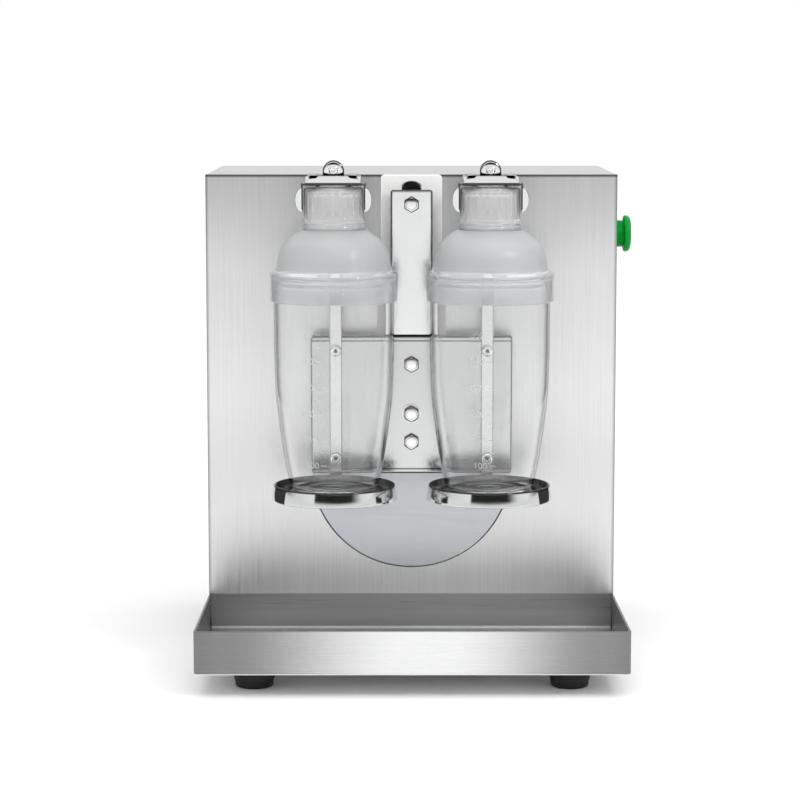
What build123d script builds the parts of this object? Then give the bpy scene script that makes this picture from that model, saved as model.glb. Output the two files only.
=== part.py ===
"""Double-cup shaking machine for bar and cafe drinks.

A steel cabinet holds a motor that turns a crank disc through a belt. The crank carries a
cross box with two shaker cups, each standing in a dish under a sprung clamp.

Units are millimetres and +Z is up. The origin is on the table, in the middle of the
overall box. Depths called `out` are measured forwards from the face of the front panel,
and depths called `back` are measured behind it.
"""
import math
import os

from build123d import *

os.makedirs("parts", exist_ok=True)

# ---- Cabinet -------------------------------------------------------------------------
body_width = 350.0
body_depth = 217.0
body_top = 412.0
tray_depth = 177.0
tray_front_top = 55.0
tray_back_top = 50.0
sheet = 1.2
fold_radius = 1.0
flange_width = 14.0
seam_gap = 0.3

# ---- Feet ----------------------------------------------------------------------------
foot_height = 19.3
foot_top_radius = 18.5
foot_sole_radius = 15.5
foot_inset_side = 46.0
foot_inset_front = 47.0
foot_inset_rear = 40.0
foot_screw_radius = 2.45

# ---- Screws and bolts ----------------------------------------------------------------
screw_clearance = 0.15
small_screw_radius = 1.95
small_head_radius = 3.6
small_head_height = 1.6
hex_across_flats = 12.0
hex_head_height = 5.3
bolt_radius = 3.9

# ---- Push button ---------------------------------------------------------------------
button_back = 50.0
button_level = 359.0
button_head_radius = 15.75
button_head_height = 6.0
button_neck_radius = 11.5
button_neck_out = 9.5
button_fit = 0.1
button_travel = 4.0
button_bezel_height = 1.2
button_tube_length = 22.0
button_tube_radius = 13.2
button_block = 28.0

# ---- Power inlet ---------------------------------------------------------------------
inlet_level = 62.0
inlet_side = 110.0
inlet_width = 27.0
inlet_height = 20.0
inlet_depth = 24.0
inlet_flange = 2.0
inlet_screw_spacing = 40.0

# ---- Crank ---------------------------------------------------------------------------
crank_level = 160.0
crank_radius = 51.0
disc_radius = 85.5
disc_gap = 1.0
disc_out = 1.0
disc_thickness = 8.0
hub_radius = 23.0
hub_length = 12.0
shaft_radius = 10.0
shaft_end_back = 68.0
pin_radius = 6.5
running_fit = 0.05

# ---- Belt drive ----------------------------------------------------------------------
motor_level = 318.0
big_pulley_radius = 70.0
small_pulley_radius = 20.0
pulley_front_back = 22.0
pulley_flange = 2.0
pulley_flange_step = 3.0
belt_width = 13.0
belt_thickness = 4.0
belt_gap = 0.3
motor_radius = 48.0
motor_length = 108.0
motor_shaft_radius = 6.0

# ---- Inner frame and bearings --------------------------------------------------------
frame_back = 66.0
frame_thickness = 3.0
frame_width = 300.0
frame_top = 385.0
frame_foot = 28.0
housing_radius = 28.0
housing_flange_radius = 44.0
housing_flange = 6.0
housing_length = 24.0
bearing_radius = 21.0
bearing_width = 8.0
bearing_bolt_circle = 36.0

# ---- Guide plate and roller ----------------------------------------------------------
guide_width = 52.0
guide_bottom = 262.0
guide_thickness = 8.0
guide_corner = 3.0
slot_width = 16.4
slot_top = 406.7
slot_bottom = 273.0
roller_radius = 8.0
roller_level = 388.0
roller_width = 6.0
roller_gap = 0.6
roller_bore_radius = 4.0

# ---- Shaking arm ---------------------------------------------------------------------
arm_out = 26.0
arm_sheet = 2.0
channel_width = 35.5
channel_top = 400.0
channel_depth = 11.0
box_half_width = 86.0
box_top = 277.0
box_bottom = 159.5
box_depth = 14.0
block_half_width = 19.0
block_top = 268.0
block_bottom = 173.0
block_depth = 14.0
bush_wall = 3.5
upper_bolt_level = 253.0
lower_bolt_level = 187.0
washer_radius = 8.0
washer_thickness = 1.6

# ---- Cup carriers --------------------------------------------------------------------
cup_spacing = 128.0
cup_out = 86.0
strap_width = 11.0
strap_thickness = 3.0
strap_top = 365.0
strap_reach_back = 14.0
strap_reach_front = 22.0
strap_bolt_radius = 2.45
strap_head_radius = 5.0
strap_head_height = 3.0
strap_bolt_levels = (265.0, 173.0)
dish_bottom = 147.5
dish_top = 160.0
dish_floor = 154.7
dish_foot_radius = 52.0
dish_rim_radius = 50.0
dish_wall = 2.0
dish_boss_radius = 12.0

# ---- Cups ----------------------------------------------------------------------------
cup_wall = 2.0
cup_bottom = 155.0
cup_base_radius = 35.0
cup_profile = ((160.0, 36.6), (173.0, 39.6), (188.0, 42.3), (210.0, 45.4), (237.0, 48.3))
cup_rim_radius = 49.5
cup_straight_from = 275.0
cup_rim = 330.0
collar_bottom = 312.0
collar_radius = 52.7
collar_top = 335.0
dome_radius = 47.0
dome_foot = 338.0
dome_top = 371.0
dome_curve = 29.5
neck_radius = 22.5
neck_top = 398.0
lid_fit = 0.4
cap_radius = 24.5
cap_skirt_radius = 26.0
cap_skirt_top = 379.0
cap_top = 405.0
cap_wall = 1.6

# ---- Clamps --------------------------------------------------------------------------
clamp_travel = 22.0
rod_radius = 3.0
rod_out = 19.0
rod_bottom = 250.0
rod_fit = 0.05
rod_collar_radius = 6.5
rod_collar_level = 296.0
rod_collar_height = 4.0
spring_wire_radius = 0.7
spring_mean_radius = 5.0
spring_turns = 11
head_gap = 0.3
head_skirt_bottom = 407.0
head_top = 415.0
head_half_width = 23.3
head_top_half_width = 18.8
head_half_depth = 22.0
head_top_half_depth = 18.0
head_pad_radius = 15.0
ear_inner = 24.9
ear_thickness = 1.5
ear_half_depth = 9.0
ear_bottom = 385.0
ear_tab = 4.8
ear_tab_height = 20.0
lever_width = 13.0
lever_height = 6.0
lug_width = 17.5
lug_top = 427.0
lug_out_from = 82.0
lug_out_to = 92.0
lug_screw_level = 419.5
lug_screw_radius = 4.0
lug_screw_height = 2.6

# ---- Worked out from the above -------------------------------------------------------
button_out = button_neck_out + button_head_height
rear_out = inlet_flange + small_head_height
middle_x = -button_out / 2
panel_y = (tray_depth - body_depth - rear_out) / 2
floor_top = foot_height + sheet
inner_half_width = body_width / 2 - sheet
pulley_width = belt_width + 2 * belt_gap + 2 * pulley_flange
pulley_hole = disc_radius + disc_gap
pin_level = crank_level + crank_radius
cup_sides = (("left", -cup_spacing / 2), ("right", cup_spacing / 2))
foot_x = body_width / 2 - foot_inset_side
foot_front_y = panel_y - tray_depth + foot_inset_front
foot_rear_y = panel_y + body_depth - foot_inset_rear


def level(z, x=0.0, y=0.0):
    """A plane that faces up at height z, with its own origin x from the machine's middle."""
    return Plane(origin=(middle_x + x, y, z))


def facing(out, x=0.0, z=0.0):
    """A plane that faces the front, `out` in front of the panel; its own y runs up."""
    return Plane(origin=(middle_x + x, panel_y - out, z), x_dir=(1, 0, 0), z_dir=(0, -1, 0))


def sideways(x, out=0.0, z=0.0):
    """A plane that faces right at x; its own x runs to the back and its own y runs up."""
    return Plane(origin=(middle_x + x, panel_y - out, z), x_dir=(0, 1, 0), z_dir=(1, 0, 0))


def save(piece, name):
    """Label a finished piece and write it."""
    piece.part.label = name
    export_step(piece.part, f"parts/{name}.step")


# ======================================================================================
# Cabinet
# ======================================================================================
def make_base_pan():
    """Welded pan: full floor, low walls round the tray and an upstand under the panel."""
    front_y = panel_y - tray_depth
    with BuildPart() as base_pan:
        with BuildSketch(level(foot_height)):
            with Locations((0, (front_y + panel_y + body_depth) / 2)):
                Rectangle(body_width, tray_depth + body_depth)
        extrude(amount=sheet)
        with BuildSketch(facing(tray_depth)):
            with Locations((0, (foot_height + tray_front_top) / 2)):
                Rectangle(body_width, tray_front_top - foot_height)
        extrude(amount=-sheet)
        for x in (-body_width / 2, body_width / 2 - sheet):
            with BuildSketch(sideways(x)):
                with BuildLine():
                    Polyline(
                        (-tray_depth, foot_height),
                        (-tray_depth, tray_front_top),
                        (0, tray_back_top),
                        (0, foot_height),
                        close=True,
                    )
                make_face()
            extrude(amount=sheet)
        with BuildSketch(facing(0)):
            with Locations((0, (foot_height + tray_back_top) / 2)):
                Rectangle(body_width, tray_back_top - foot_height)
        extrude(amount=-sheet)
        corners = base_pan.edges().filter_by(Axis.Z).group_by(Axis.Y)[0].sort_by(Axis.X)
        fillet([corners[0], corners[-1]], fold_radius)
        with BuildSketch(level(foot_height)):
            with Locations(*foot_places()):
                Circle(foot_screw_radius + screw_clearance)
            with Locations(*frame_bolt_places()):
                Circle(small_screw_radius + screw_clearance)
        extrude(amount=sheet, mode=Mode.SUBTRACT)
    save(base_pan, "base_pan")


def foot_places():
    """Centres of the four feet."""
    return [(x, y) for x in (-foot_x, foot_x) for y in (foot_front_y, foot_rear_y)]


def frame_bolt_places():
    """Centres of the four bolts through the inner frame's foot."""
    y = panel_y + frame_back + frame_thickness + frame_foot / 2
    return [(x, y) for x in (-0.42 * frame_width, -0.16 * frame_width,
                             0.16 * frame_width, 0.42 * frame_width)]


def make_body_shell():
    """Top and two sides in one folded sheet, with a return flange at the back."""
    height = body_top - floor_top
    middle = floor_top + height / 2
    length = body_depth - sheet
    with BuildPart() as body_shell:
        with BuildSketch(facing(-sheet, z=middle)):
            Rectangle(body_width, height)
            with Locations((0, -sheet / 2)):
                Rectangle(body_width - 2 * sheet, height - sheet, mode=Mode.SUBTRACT)
        extrude(amount=-length)
        top_edges = body_shell.edges().filter_by(Axis.Y).group_by(Axis.Z)[-1]
        fillet(top_edges, fold_radius)
        with BuildSketch(facing(-(body_depth - 2 * sheet), z=middle - sheet / 2)):
            Rectangle(body_width - 2 * sheet, height - sheet)
            with Locations((0, -flange_width / 2)):
                Rectangle(
                    body_width - 2 * sheet - 2 * flange_width,
                    height - sheet - flange_width,
                    mode=Mode.SUBTRACT,
                )
        extrude(amount=sheet)
        with BuildSketch(facing(-(body_depth - 2 * sheet))):
            with Locations(*rear_screw_places()):
                Circle(small_screw_radius + screw_clearance)
        extrude(amount=sheet, mode=Mode.SUBTRACT)
        with BuildSketch(sideways(inner_half_width, -button_back, button_level)):
            Circle(button_tube_radius + screw_clearance)
        extrude(amount=sheet, mode=Mode.SUBTRACT)
    save(body_shell, "body_shell")


def rear_screw_places():
    """Centres of the screws round the rear panel, as distances from middle and table."""
    side = inner_half_width - flange_width / 2
    low = floor_top + 25.0
    high = body_top - sheet - flange_width / 2
    places = [(x, z) for x in (-side, side) for z in (low, (low + high) / 2, high)]
    return places + [(-side / 3, high), (side / 3, high)]


def make_front_panel():
    """Front sheet with side flanges, a round opening for the crank disc and a guide slot."""
    bottom = tray_back_top + seam_gap
    height = body_top - bottom
    middle = bottom + height / 2
    with BuildPart() as front_panel:
        with BuildSketch(facing(0, z=middle)):
            Rectangle(body_width, height)
        extrude(amount=-sheet)
        with BuildSketch(facing(-sheet, z=middle)):
            Rectangle(body_width - 2 * sheet - 2 * seam_gap, height - 2 * sheet - 2 * seam_gap)
            Rectangle(
                body_width - 4 * sheet - 2 * seam_gap,
                height - 4 * sheet - 2 * seam_gap,
                mode=Mode.SUBTRACT,
            )
        extrude(amount=-flange_width)
        face_edges = front_panel.faces().sort_by(Axis.Y)[0].edges()
        fillet(face_edges.filter_by(Axis.Z), fold_radius / 2)
        with BuildSketch(facing(0, z=crank_level)):
            Circle(pulley_hole)
        extrude(amount=-sheet, mode=Mode.SUBTRACT)
        with BuildSketch(facing(0, z=(slot_top + slot_bottom) / 2)):
            SlotOverall(slot_top - slot_bottom, slot_width, rotation=90)
        extrude(amount=-sheet, mode=Mode.SUBTRACT)
        with BuildSketch(facing(0)):
            with Locations(*guide_screw_places()):
                Circle(small_screw_radius + screw_clearance)
        extrude(amount=-sheet, mode=Mode.SUBTRACT)
    save(front_panel, "front_panel")


def guide_screw_places():
    """Centres of the four screws that hold the guide plate from behind."""
    x = (guide_width + slot_width) / 4
    return [(s * x, z) for s in (-1, 1) for z in (guide_bottom + 25.0, body_top - 25.0)]


def make_rear_panel():
    """Rear sheet with two columns of cooling slots and the inlet's cut-out."""
    bottom = floor_top + seam_gap
    top = body_top - sheet - seam_gap
    with BuildPart() as rear_panel:
        with BuildSketch(facing(-body_depth, z=(bottom + top) / 2)):
            Rectangle(body_width - 2 * sheet - 2 * seam_gap, top - bottom)
        extrude(amount=sheet)
        with BuildSketch(facing(-body_depth, z=motor_level)):
            with GridLocations(body_width / 3, 14.0, 2, 7):
                SlotOverall(80.0, 4.5)
        extrude(amount=sheet, mode=Mode.SUBTRACT)
        with BuildSketch(facing(-body_depth)):
            with Locations(*rear_screw_places()):
                Circle(small_screw_radius + screw_clearance)
            with Locations(*inlet_screw_places()):
                Circle(small_screw_radius + screw_clearance)
            with Locations((inlet_side, inlet_level)):
                Rectangle(inlet_width + 2 * seam_gap, inlet_height + 2 * seam_gap)
        extrude(amount=sheet, mode=Mode.SUBTRACT)
    save(rear_panel, "rear_panel")


def inlet_screw_places():
    """Centres of the two screws beside the power inlet."""
    return [(inlet_side + s * inlet_screw_spacing / 2, inlet_level) for s in (-1, 1)]


def make_rear_screws():
    """Pan-head screws that hold the rear panel."""
    with BuildPart() as rear_screws:
        with BuildSketch(facing(-body_depth)):
            with Locations(*rear_screw_places()):
                Circle(small_head_radius)
        extrude(amount=-small_head_height)
        with BuildSketch(facing(-body_depth)):
            with Locations(*rear_screw_places()):
                Circle(small_screw_radius)
        extrude(amount=8.0)
    save(rear_screws, "rear_screws")


def make_rubber_feet():
    """Four tapered rubber feet with a recess for the screw head."""
    taper = math.degrees(math.atan((foot_top_radius - foot_sole_radius) / foot_height))
    with BuildPart() as rubber_feet:
        with BuildSketch(level(0)):
            with Locations(*foot_places()):
                Circle(foot_sole_radius)
        extrude(amount=foot_height, taper=-taper)
        sole_edges = rubber_feet.edges().filter_by(GeomType.CIRCLE).group_by(Axis.Z)[0]
        fillet(sole_edges, 2.0)
        with BuildSketch(level(0)):
            with Locations(*foot_places()):
                Circle(5.5)
        extrude(amount=9.0, mode=Mode.SUBTRACT)
        with BuildSketch(level(0)):
            with Locations(*foot_places()):
                Circle(foot_screw_radius + screw_clearance)
        extrude(amount=foot_height, mode=Mode.SUBTRACT)
    save(rubber_feet, "rubber_feet")


def make_foot_screws():
    """Screws up through the feet into the pan."""
    with BuildPart() as foot_screws:
        with BuildSketch(level(5.5)):
            with Locations(*foot_places()):
                Circle(4.6)
        extrude(amount=3.5)
        with BuildSketch(level(9.0)):
            with Locations(*foot_places()):
                Circle(foot_screw_radius)
        extrude(amount=floor_top + 1.5 - 9.0)
    save(foot_screws, "foot_screws")


def make_guide_plate():
    """White nylon plate with the upright slot that steers the arm's roller."""
    with BuildPart() as guide_plate:
        with BuildSketch(facing(0, z=(body_top + guide_bottom) / 2)):
            RectangleRounded(guide_width, body_top - guide_bottom, guide_corner)
        extrude(amount=guide_thickness)
        with BuildSketch(facing(0, z=(slot_top + slot_bottom) / 2)):
            SlotOverall(slot_top - slot_bottom, slot_width, rotation=90)
        extrude(amount=guide_thickness, mode=Mode.SUBTRACT)
        with BuildSketch(facing(0)):
            with Locations(*guide_screw_places()):
                Circle(small_screw_radius + screw_clearance)
        extrude(amount=guide_thickness - 2.0, mode=Mode.SUBTRACT)
    save(guide_plate, "guide_plate")


def make_guide_screws():
    """Screws from inside the cabinet into the guide plate."""
    with BuildPart() as guide_screws:
        with BuildSketch(facing(-sheet)):
            with Locations(*guide_screw_places()):
                Circle(small_head_radius)
        extrude(amount=-small_head_height)
        with BuildSketch(facing(-sheet)):
            with Locations(*guide_screw_places()):
                Circle(small_screw_radius)
        extrude(amount=sheet + guide_thickness - 2.5)
    save(guide_screws, "guide_screws")


# ======================================================================================
# Inside the cabinet
# ======================================================================================
def make_inner_frame():
    """Folded steel plate that carries the bearing housing and the motor."""
    with BuildPart() as inner_frame:
        with BuildSketch(facing(-frame_back, z=(floor_top + frame_top) / 2)):
            Rectangle(frame_width, frame_top - floor_top)
        extrude(amount=-frame_thickness)
        with BuildSketch(level(floor_top)):
            with Locations((0, panel_y + frame_back + (frame_thickness + frame_foot) / 2)):
                Rectangle(frame_width, frame_thickness + frame_foot)
        extrude(amount=frame_thickness)
        with BuildSketch(facing(-frame_back)):
            with Locations((0, crank_level)):
                Circle(shaft_radius + 5.0)
                with PolarLocations(bearing_bolt_circle, 4, 45):
                    Circle(bolt_radius - 1 + screw_clearance)
            with Locations((0, motor_level)):
                Circle(motor_shaft_radius + 8.0)
                with PolarLocations(motor_radius - 8.0, 4, 45):
                    Circle(bolt_radius - 1 + screw_clearance)
            for x in (-0.34 * frame_width, 0.34 * frame_width):
                with Locations((x, crank_level - 20.0), (x, motor_level - 20.0)):
                    RectangleRounded(frame_width / 6, 90.0, 8.0)
        extrude(amount=-frame_thickness, mode=Mode.SUBTRACT)
        with BuildSketch(level(floor_top)):
            with Locations(*frame_bolt_places()):
                Circle(small_screw_radius + screw_clearance)
        extrude(amount=frame_thickness, mode=Mode.SUBTRACT)
    save(inner_frame, "inner_frame")


def make_frame_bolts():
    """Bolts down through the frame's foot into the pan."""
    with BuildPart() as frame_bolts:
        with BuildSketch(level(floor_top + frame_thickness)):
            with Locations(*frame_bolt_places()):
                RegularPolygon(small_head_radius, 6)
        extrude(amount=small_head_height * 2)
        with BuildSketch(level(foot_height)):
            with Locations(*frame_bolt_places()):
                Circle(small_screw_radius)
        extrude(amount=sheet + frame_thickness)
    save(frame_bolts, "frame_bolts")


def ring(outer, inner, back, height):
    """The face of a ring about a front-to-back axis."""
    with BuildSketch(facing(-back, z=height)) as face:
        Circle(outer)
        Circle(inner, mode=Mode.SUBTRACT)
    return face.sketch


def make_bearing_housing():
    """Flanged housing for the crank shaft's two ball bearings."""
    mouth = frame_back - housing_length
    with BuildPart() as bearing_housing:
        extrude(ring(housing_radius, bearing_radius, mouth, crank_level),
                amount=-housing_length)
        extrude(ring(housing_flange_radius, bearing_radius, frame_back - housing_flange,
                     crank_level), amount=-housing_flange)
        extrude(ring(housing_radius, bearing_radius - 3.0, mouth + bearing_width, crank_level),
                amount=-(housing_length - 2 * bearing_width))
        with BuildSketch(facing(-frame_back, z=crank_level)):
            with PolarLocations(bearing_bolt_circle, 4, 45):
                Circle(bolt_radius - 1 + screw_clearance)
        extrude(amount=housing_flange, mode=Mode.SUBTRACT)
    save(bearing_housing, "bearing_housing")


def make_housing_bolts():
    """Four bolts that hold the bearing housing to the inner frame."""
    with BuildPart() as housing_bolts:
        with BuildSketch(facing(housing_flange - frame_back, z=crank_level)):
            with PolarLocations(bearing_bolt_circle, 4, 45):
                RegularPolygon(5.0, 6)
        extrude(amount=3.5)
        with BuildSketch(facing(housing_flange - frame_back, z=crank_level)):
            with PolarLocations(bearing_bolt_circle, 4, 45):
                Circle(bolt_radius - 1)
        extrude(amount=-(housing_flange + frame_thickness + 3.0))
    save(housing_bolts, "housing_bolts")


def make_crank_bearings():
    """Two ball bearings: outer ring, inner ring and seven balls each."""
    inner = shaft_radius + running_fit
    wall = (bearing_radius - inner) * 0.27
    ball_circle = (bearing_radius + inner) / 2
    ball_radius = (bearing_radius - inner) / 2 - wall - 0.05
    mouth = frame_back - housing_length
    with BuildPart() as crank_bearings:
        for back in (mouth, frame_back - bearing_width):
            extrude(ring(bearing_radius, bearing_radius - wall, back, crank_level),
                    amount=-bearing_width)
            extrude(ring(inner + wall, inner, back, crank_level), amount=-bearing_width)
            with Locations(facing(-(back + bearing_width / 2), z=crank_level)):
                with PolarLocations(ball_circle, 7):
                    Sphere(ball_radius)
    save(crank_bearings, "crank_bearings")


def make_pulley(name, rim_radius, bore_radius, height, window_radius):
    """Flanged flat-belt pulley, with four round windows in its web if it is large."""
    rear_flange_back = pulley_front_back + pulley_width - pulley_flange
    flange_radius = rim_radius + pulley_flange_step
    with BuildPart() as pulley:
        extrude(ring(rim_radius, bore_radius, pulley_front_back, height), amount=-pulley_width)
        for back in (pulley_front_back, rear_flange_back):
            extrude(ring(flange_radius, bore_radius, back, height), amount=-pulley_flange)
        if window_radius > 0:
            with BuildSketch(facing(-pulley_front_back, z=height)):
                with PolarLocations((rim_radius + hub_radius) / 2 - 3.0, 4, 45):
                    Circle(window_radius)
            extrude(amount=-pulley_width, mode=Mode.SUBTRACT)
    save(pulley, name)


def belt_outline(grow):
    """The face inside an open belt that runs round both pulleys, grown by `grow`."""
    centre = motor_level - crank_level
    big = big_pulley_radius + grow
    small = small_pulley_radius + grow
    lean = math.asin((big - small) / centre)
    big_x = big * math.cos(lean)
    big_z = crank_level + big * math.sin(lean)
    small_x = small * math.cos(lean)
    small_z = motor_level + small * math.sin(lean)
    with BuildSketch(facing(-(pulley_front_back + pulley_flange + belt_gap))) as outline:
        with BuildLine():
            Line((big_x, big_z), (small_x, small_z))
            ThreePointArc((small_x, small_z), (0, motor_level + small), (-small_x, small_z))
            Line((-small_x, small_z), (-big_x, big_z))
            ThreePointArc((-big_x, big_z), (0, crank_level - big), (big_x, big_z))
        make_face()
    return outline.sketch


def make_drive_belt():
    """Flat belt between the two pulleys, a hair clear of both rims."""
    with BuildPart() as drive_belt:
        extrude(belt_outline(belt_gap + belt_thickness), amount=-belt_width)
        extrude(belt_outline(belt_gap), amount=-belt_width, mode=Mode.SUBTRACT)
    save(drive_belt, "drive_belt")


def make_motor_body():
    """Motor can with end bells, cooling ribs and a bore for its shaft."""
    face = frame_back + frame_thickness
    with BuildPart() as motor_body:
        with BuildSketch(facing(-face, z=motor_level)):
            Circle(motor_radius)
        extrude(amount=-motor_length)
        ends = motor_body.edges().filter_by(GeomType.CIRCLE)
        chamfer(ends.sort_by(Axis.Y)[-1], 6.0)
        with BuildSketch(facing(-(face + 22.0), z=motor_level)):
            with PolarLocations(motor_radius + 1.0, 24):
                Rectangle(6.0, 3.0)
        extrude(amount=-(motor_length - 40.0))
        with BuildSketch(facing(-face, z=motor_level)):
            Circle(motor_shaft_radius + running_fit)
        extrude(amount=-36.0, mode=Mode.SUBTRACT)
        with BuildSketch(facing(-face, z=motor_level)):
            with PolarLocations(motor_radius - 8.0, 4, 45):
                Circle(bolt_radius - 1 + screw_clearance)
        extrude(amount=-12.0, mode=Mode.SUBTRACT)
    save(motor_body, "motor_body")


def make_motor_bolts():
    """Four bolts through the inner frame into the motor's face."""
    with BuildPart() as motor_bolts:
        with BuildSketch(facing(-frame_back, z=motor_level)):
            with PolarLocations(motor_radius - 8.0, 4, 45):
                RegularPolygon(5.0, 6)
        extrude(amount=3.5)
        with BuildSketch(facing(-frame_back, z=motor_level)):
            with PolarLocations(motor_radius - 8.0, 4, 45):
                Circle(bolt_radius - 1)
        extrude(amount=-(frame_thickness + 10.0))
    save(motor_bolts, "motor_bolts")


def make_motor_shaft():
    """Motor shaft from inside the can to the front of the small pulley."""
    start = pulley_front_back - 2.0
    with BuildPart() as motor_shaft:
        with BuildSketch(facing(-start, z=motor_level)):
            Circle(motor_shaft_radius)
        extrude(amount=-(frame_back + frame_thickness + 34.0 - start))
    save(motor_shaft, "motor_shaft")


def make_start_capacitor():
    """Run capacitor that stands on the pan beside the motor."""
    with BuildPart() as start_capacitor:
        with BuildSketch(level(floor_top, inner_half_width - 40.0, panel_y + 130.0)):
            Circle(16.0)
        extrude(amount=66.0)
        chamfer(start_capacitor.edges().filter_by(GeomType.CIRCLE).sort_by(Axis.Z)[-1], 2.0)
        with BuildSketch(level(floor_top + 66.0, inner_half_width - 40.0, panel_y + 130.0)):
            with GridLocations(12.0, 1.0, 2, 1):
                Rectangle(0.8, 6.3)
        extrude(amount=9.0)
    save(start_capacitor, "start_capacitor")


def make_control_board():
    """Control board on four pillars, with a relay, a transformer and a terminal strip."""
    board_z = floor_top + 8.0
    place = (-inner_half_width + 66.0, panel_y + 155.0)
    with BuildPart() as control_board:
        with BuildSketch(level(board_z, *place)):
            Rectangle(96.0, 60.0)
        extrude(amount=1.6)
        with BuildSketch(level(floor_top, *place)):
            with GridLocations(86.0, 50.0, 2, 2):
                Circle(3.0)
        extrude(amount=8.0)
        with BuildSketch(level(board_z + 1.6, *place)):
            with Locations((-28.0, 6.0)):
                Rectangle(28.0, 32.0)
            with Locations((10.0, 10.0)):
                Rectangle(16.0, 20.0)
            with Locations((6.0, -20.0)):
                Rectangle(60.0, 9.0)
        extrude(amount=18.0)
    save(control_board, "control_board")


def make_button_bezel():
    """Thin ring outside the cabinet's side with a tube that guides the button."""
    with BuildPart() as button_bezel:
        with BuildSketch(sideways(body_width / 2, -button_back, button_level)):
            Circle(button_tube_radius + 2.0)
            Circle(button_neck_radius + button_fit, mode=Mode.SUBTRACT)
        extrude(amount=button_bezel_height)
        with BuildSketch(sideways(body_width / 2, -button_back, button_level)):
            Circle(button_tube_radius)
            Circle(button_neck_radius + button_fit, mode=Mode.SUBTRACT)
        extrude(amount=-button_tube_length)
        with BuildSketch(sideways(inner_half_width, -button_back, button_level)):
            RegularPolygon(button_tube_radius + 4.0, 6)
            Circle(button_neck_radius + button_fit, mode=Mode.SUBTRACT)
        extrude(amount=-4.0)
    save(button_bezel, "button_bezel")


def make_button_switch():
    """Contact block on the inner end of the button's tube."""
    face = body_width / 2 - button_tube_length
    with BuildPart() as button_switch:
        with BuildSketch(sideways(face, -button_back, button_level)):
            RectangleRounded(button_block, button_block, 2.0)
        extrude(amount=-32.0)
        with BuildSketch(sideways(face - 32.0, -button_back, button_level)):
            with GridLocations(16.0, 14.0, 2, 2):
                Rectangle(5.0, 1.0)
        extrude(amount=-7.0)
    save(button_switch, "button_switch")


def make_button_cap():
    """Green mushroom button: a guided neck and a domed head."""
    inner_end = body_width / 2 - button_tube_length + button_travel + 3.0
    with BuildPart() as button_cap:
        with BuildSketch(sideways(inner_end, -button_back, button_level)):
            Circle(button_neck_radius)
        extrude(amount=body_width / 2 + button_neck_out - inner_end)
        with BuildSketch(sideways(body_width / 2 + button_neck_out, -button_back, button_level)):
            Circle(button_head_radius)
        extrude(amount=button_head_height)
        fillet(button_cap.edges().filter_by(GeomType.CIRCLE).sort_by(Axis.X)[-1], 2.2)
    save(button_cap, "button_cap")


def make_power_inlet():
    """Three-pin appliance inlet set into the rear panel."""
    with BuildPart() as power_inlet:
        with BuildSketch(facing(-body_depth, inlet_side, inlet_level)):
            RectangleRounded(inlet_screw_spacing + 12.0, inlet_height + 4.0, 4.0)
        extrude(amount=-inlet_flange)
        with BuildSketch(facing(-body_depth, inlet_side, inlet_level)):
            Rectangle(inlet_width, inlet_height)
        extrude(amount=inlet_depth)
        with BuildSketch(facing(-(body_depth + inlet_flange), inlet_side, inlet_level)):
            Rectangle(inlet_width - 4.0, inlet_height - 4.0)
        extrude(amount=18.0, mode=Mode.SUBTRACT)
        with BuildSketch(facing(-(body_depth + inlet_flange - 18.0), inlet_side, inlet_level)):
            with Locations((0, 4.0), (-7.0, -4.0), (7.0, -4.0)):
                Rectangle(2.0, 4.0)
        extrude(amount=-12.0)
        with BuildSketch(facing(-(body_depth + inlet_flange), inlet_side, inlet_level)):
            with GridLocations(inlet_screw_spacing, 1.0, 2, 1):
                Circle(small_screw_radius + screw_clearance)
        extrude(amount=inlet_flange, mode=Mode.SUBTRACT)
    save(power_inlet, "power_inlet")


def make_inlet_screws():
    """Two screws that hold the inlet."""
    with BuildPart() as inlet_screws:
        with BuildSketch(facing(-(body_depth + inlet_flange))):
            with Locations(*inlet_screw_places()):
                Circle(small_head_radius)
        extrude(amount=-small_head_height)
        with BuildSketch(facing(-(body_depth + inlet_flange))):
            with Locations(*inlet_screw_places()):
                Circle(small_screw_radius)
        extrude(amount=9.0)
    save(inlet_screws, "inlet_screws")


# ======================================================================================
# Crank
# ======================================================================================
def make_crank_disc():
    """Flat disc that fills the panel's round opening, with a hub behind."""
    with BuildPart() as crank_disc:
        with BuildSketch(facing(disc_out, z=crank_level)):
            Circle(disc_radius)
        extrude(amount=-disc_thickness)
        chamfer(crank_disc.edges().filter_by(GeomType.CIRCLE).sort_by(Axis.Y)[0], 0.5)
        with BuildSketch(facing(disc_out - disc_thickness, z=crank_level)):
            Circle(hub_radius)
        extrude(amount=-hub_length)
        with BuildSketch(facing(disc_out - disc_thickness - hub_length, z=crank_level)):
            Circle(shaft_radius)
        extrude(amount=hub_length + disc_thickness - 3.0, mode=Mode.SUBTRACT)
        with BuildSketch(facing(disc_out, z=pin_level)):
            Circle(pin_radius)
        extrude(amount=-disc_thickness, mode=Mode.SUBTRACT)
    save(crank_disc, "crank_disc")


def make_crank_shaft():
    """Crank shaft from the disc's hub, through both bearings, to behind the frame."""
    start = 3.0 - disc_out
    with BuildPart() as crank_shaft:
        with BuildSketch(facing(-start, z=crank_level)):
            Circle(shaft_radius)
        extrude(amount=-(shaft_end_back - start))
        chamfer(crank_shaft.edges().filter_by(GeomType.CIRCLE).sort_by(Axis.Y)[-1], 1.0)
    save(crank_shaft, "crank_shaft")


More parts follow.
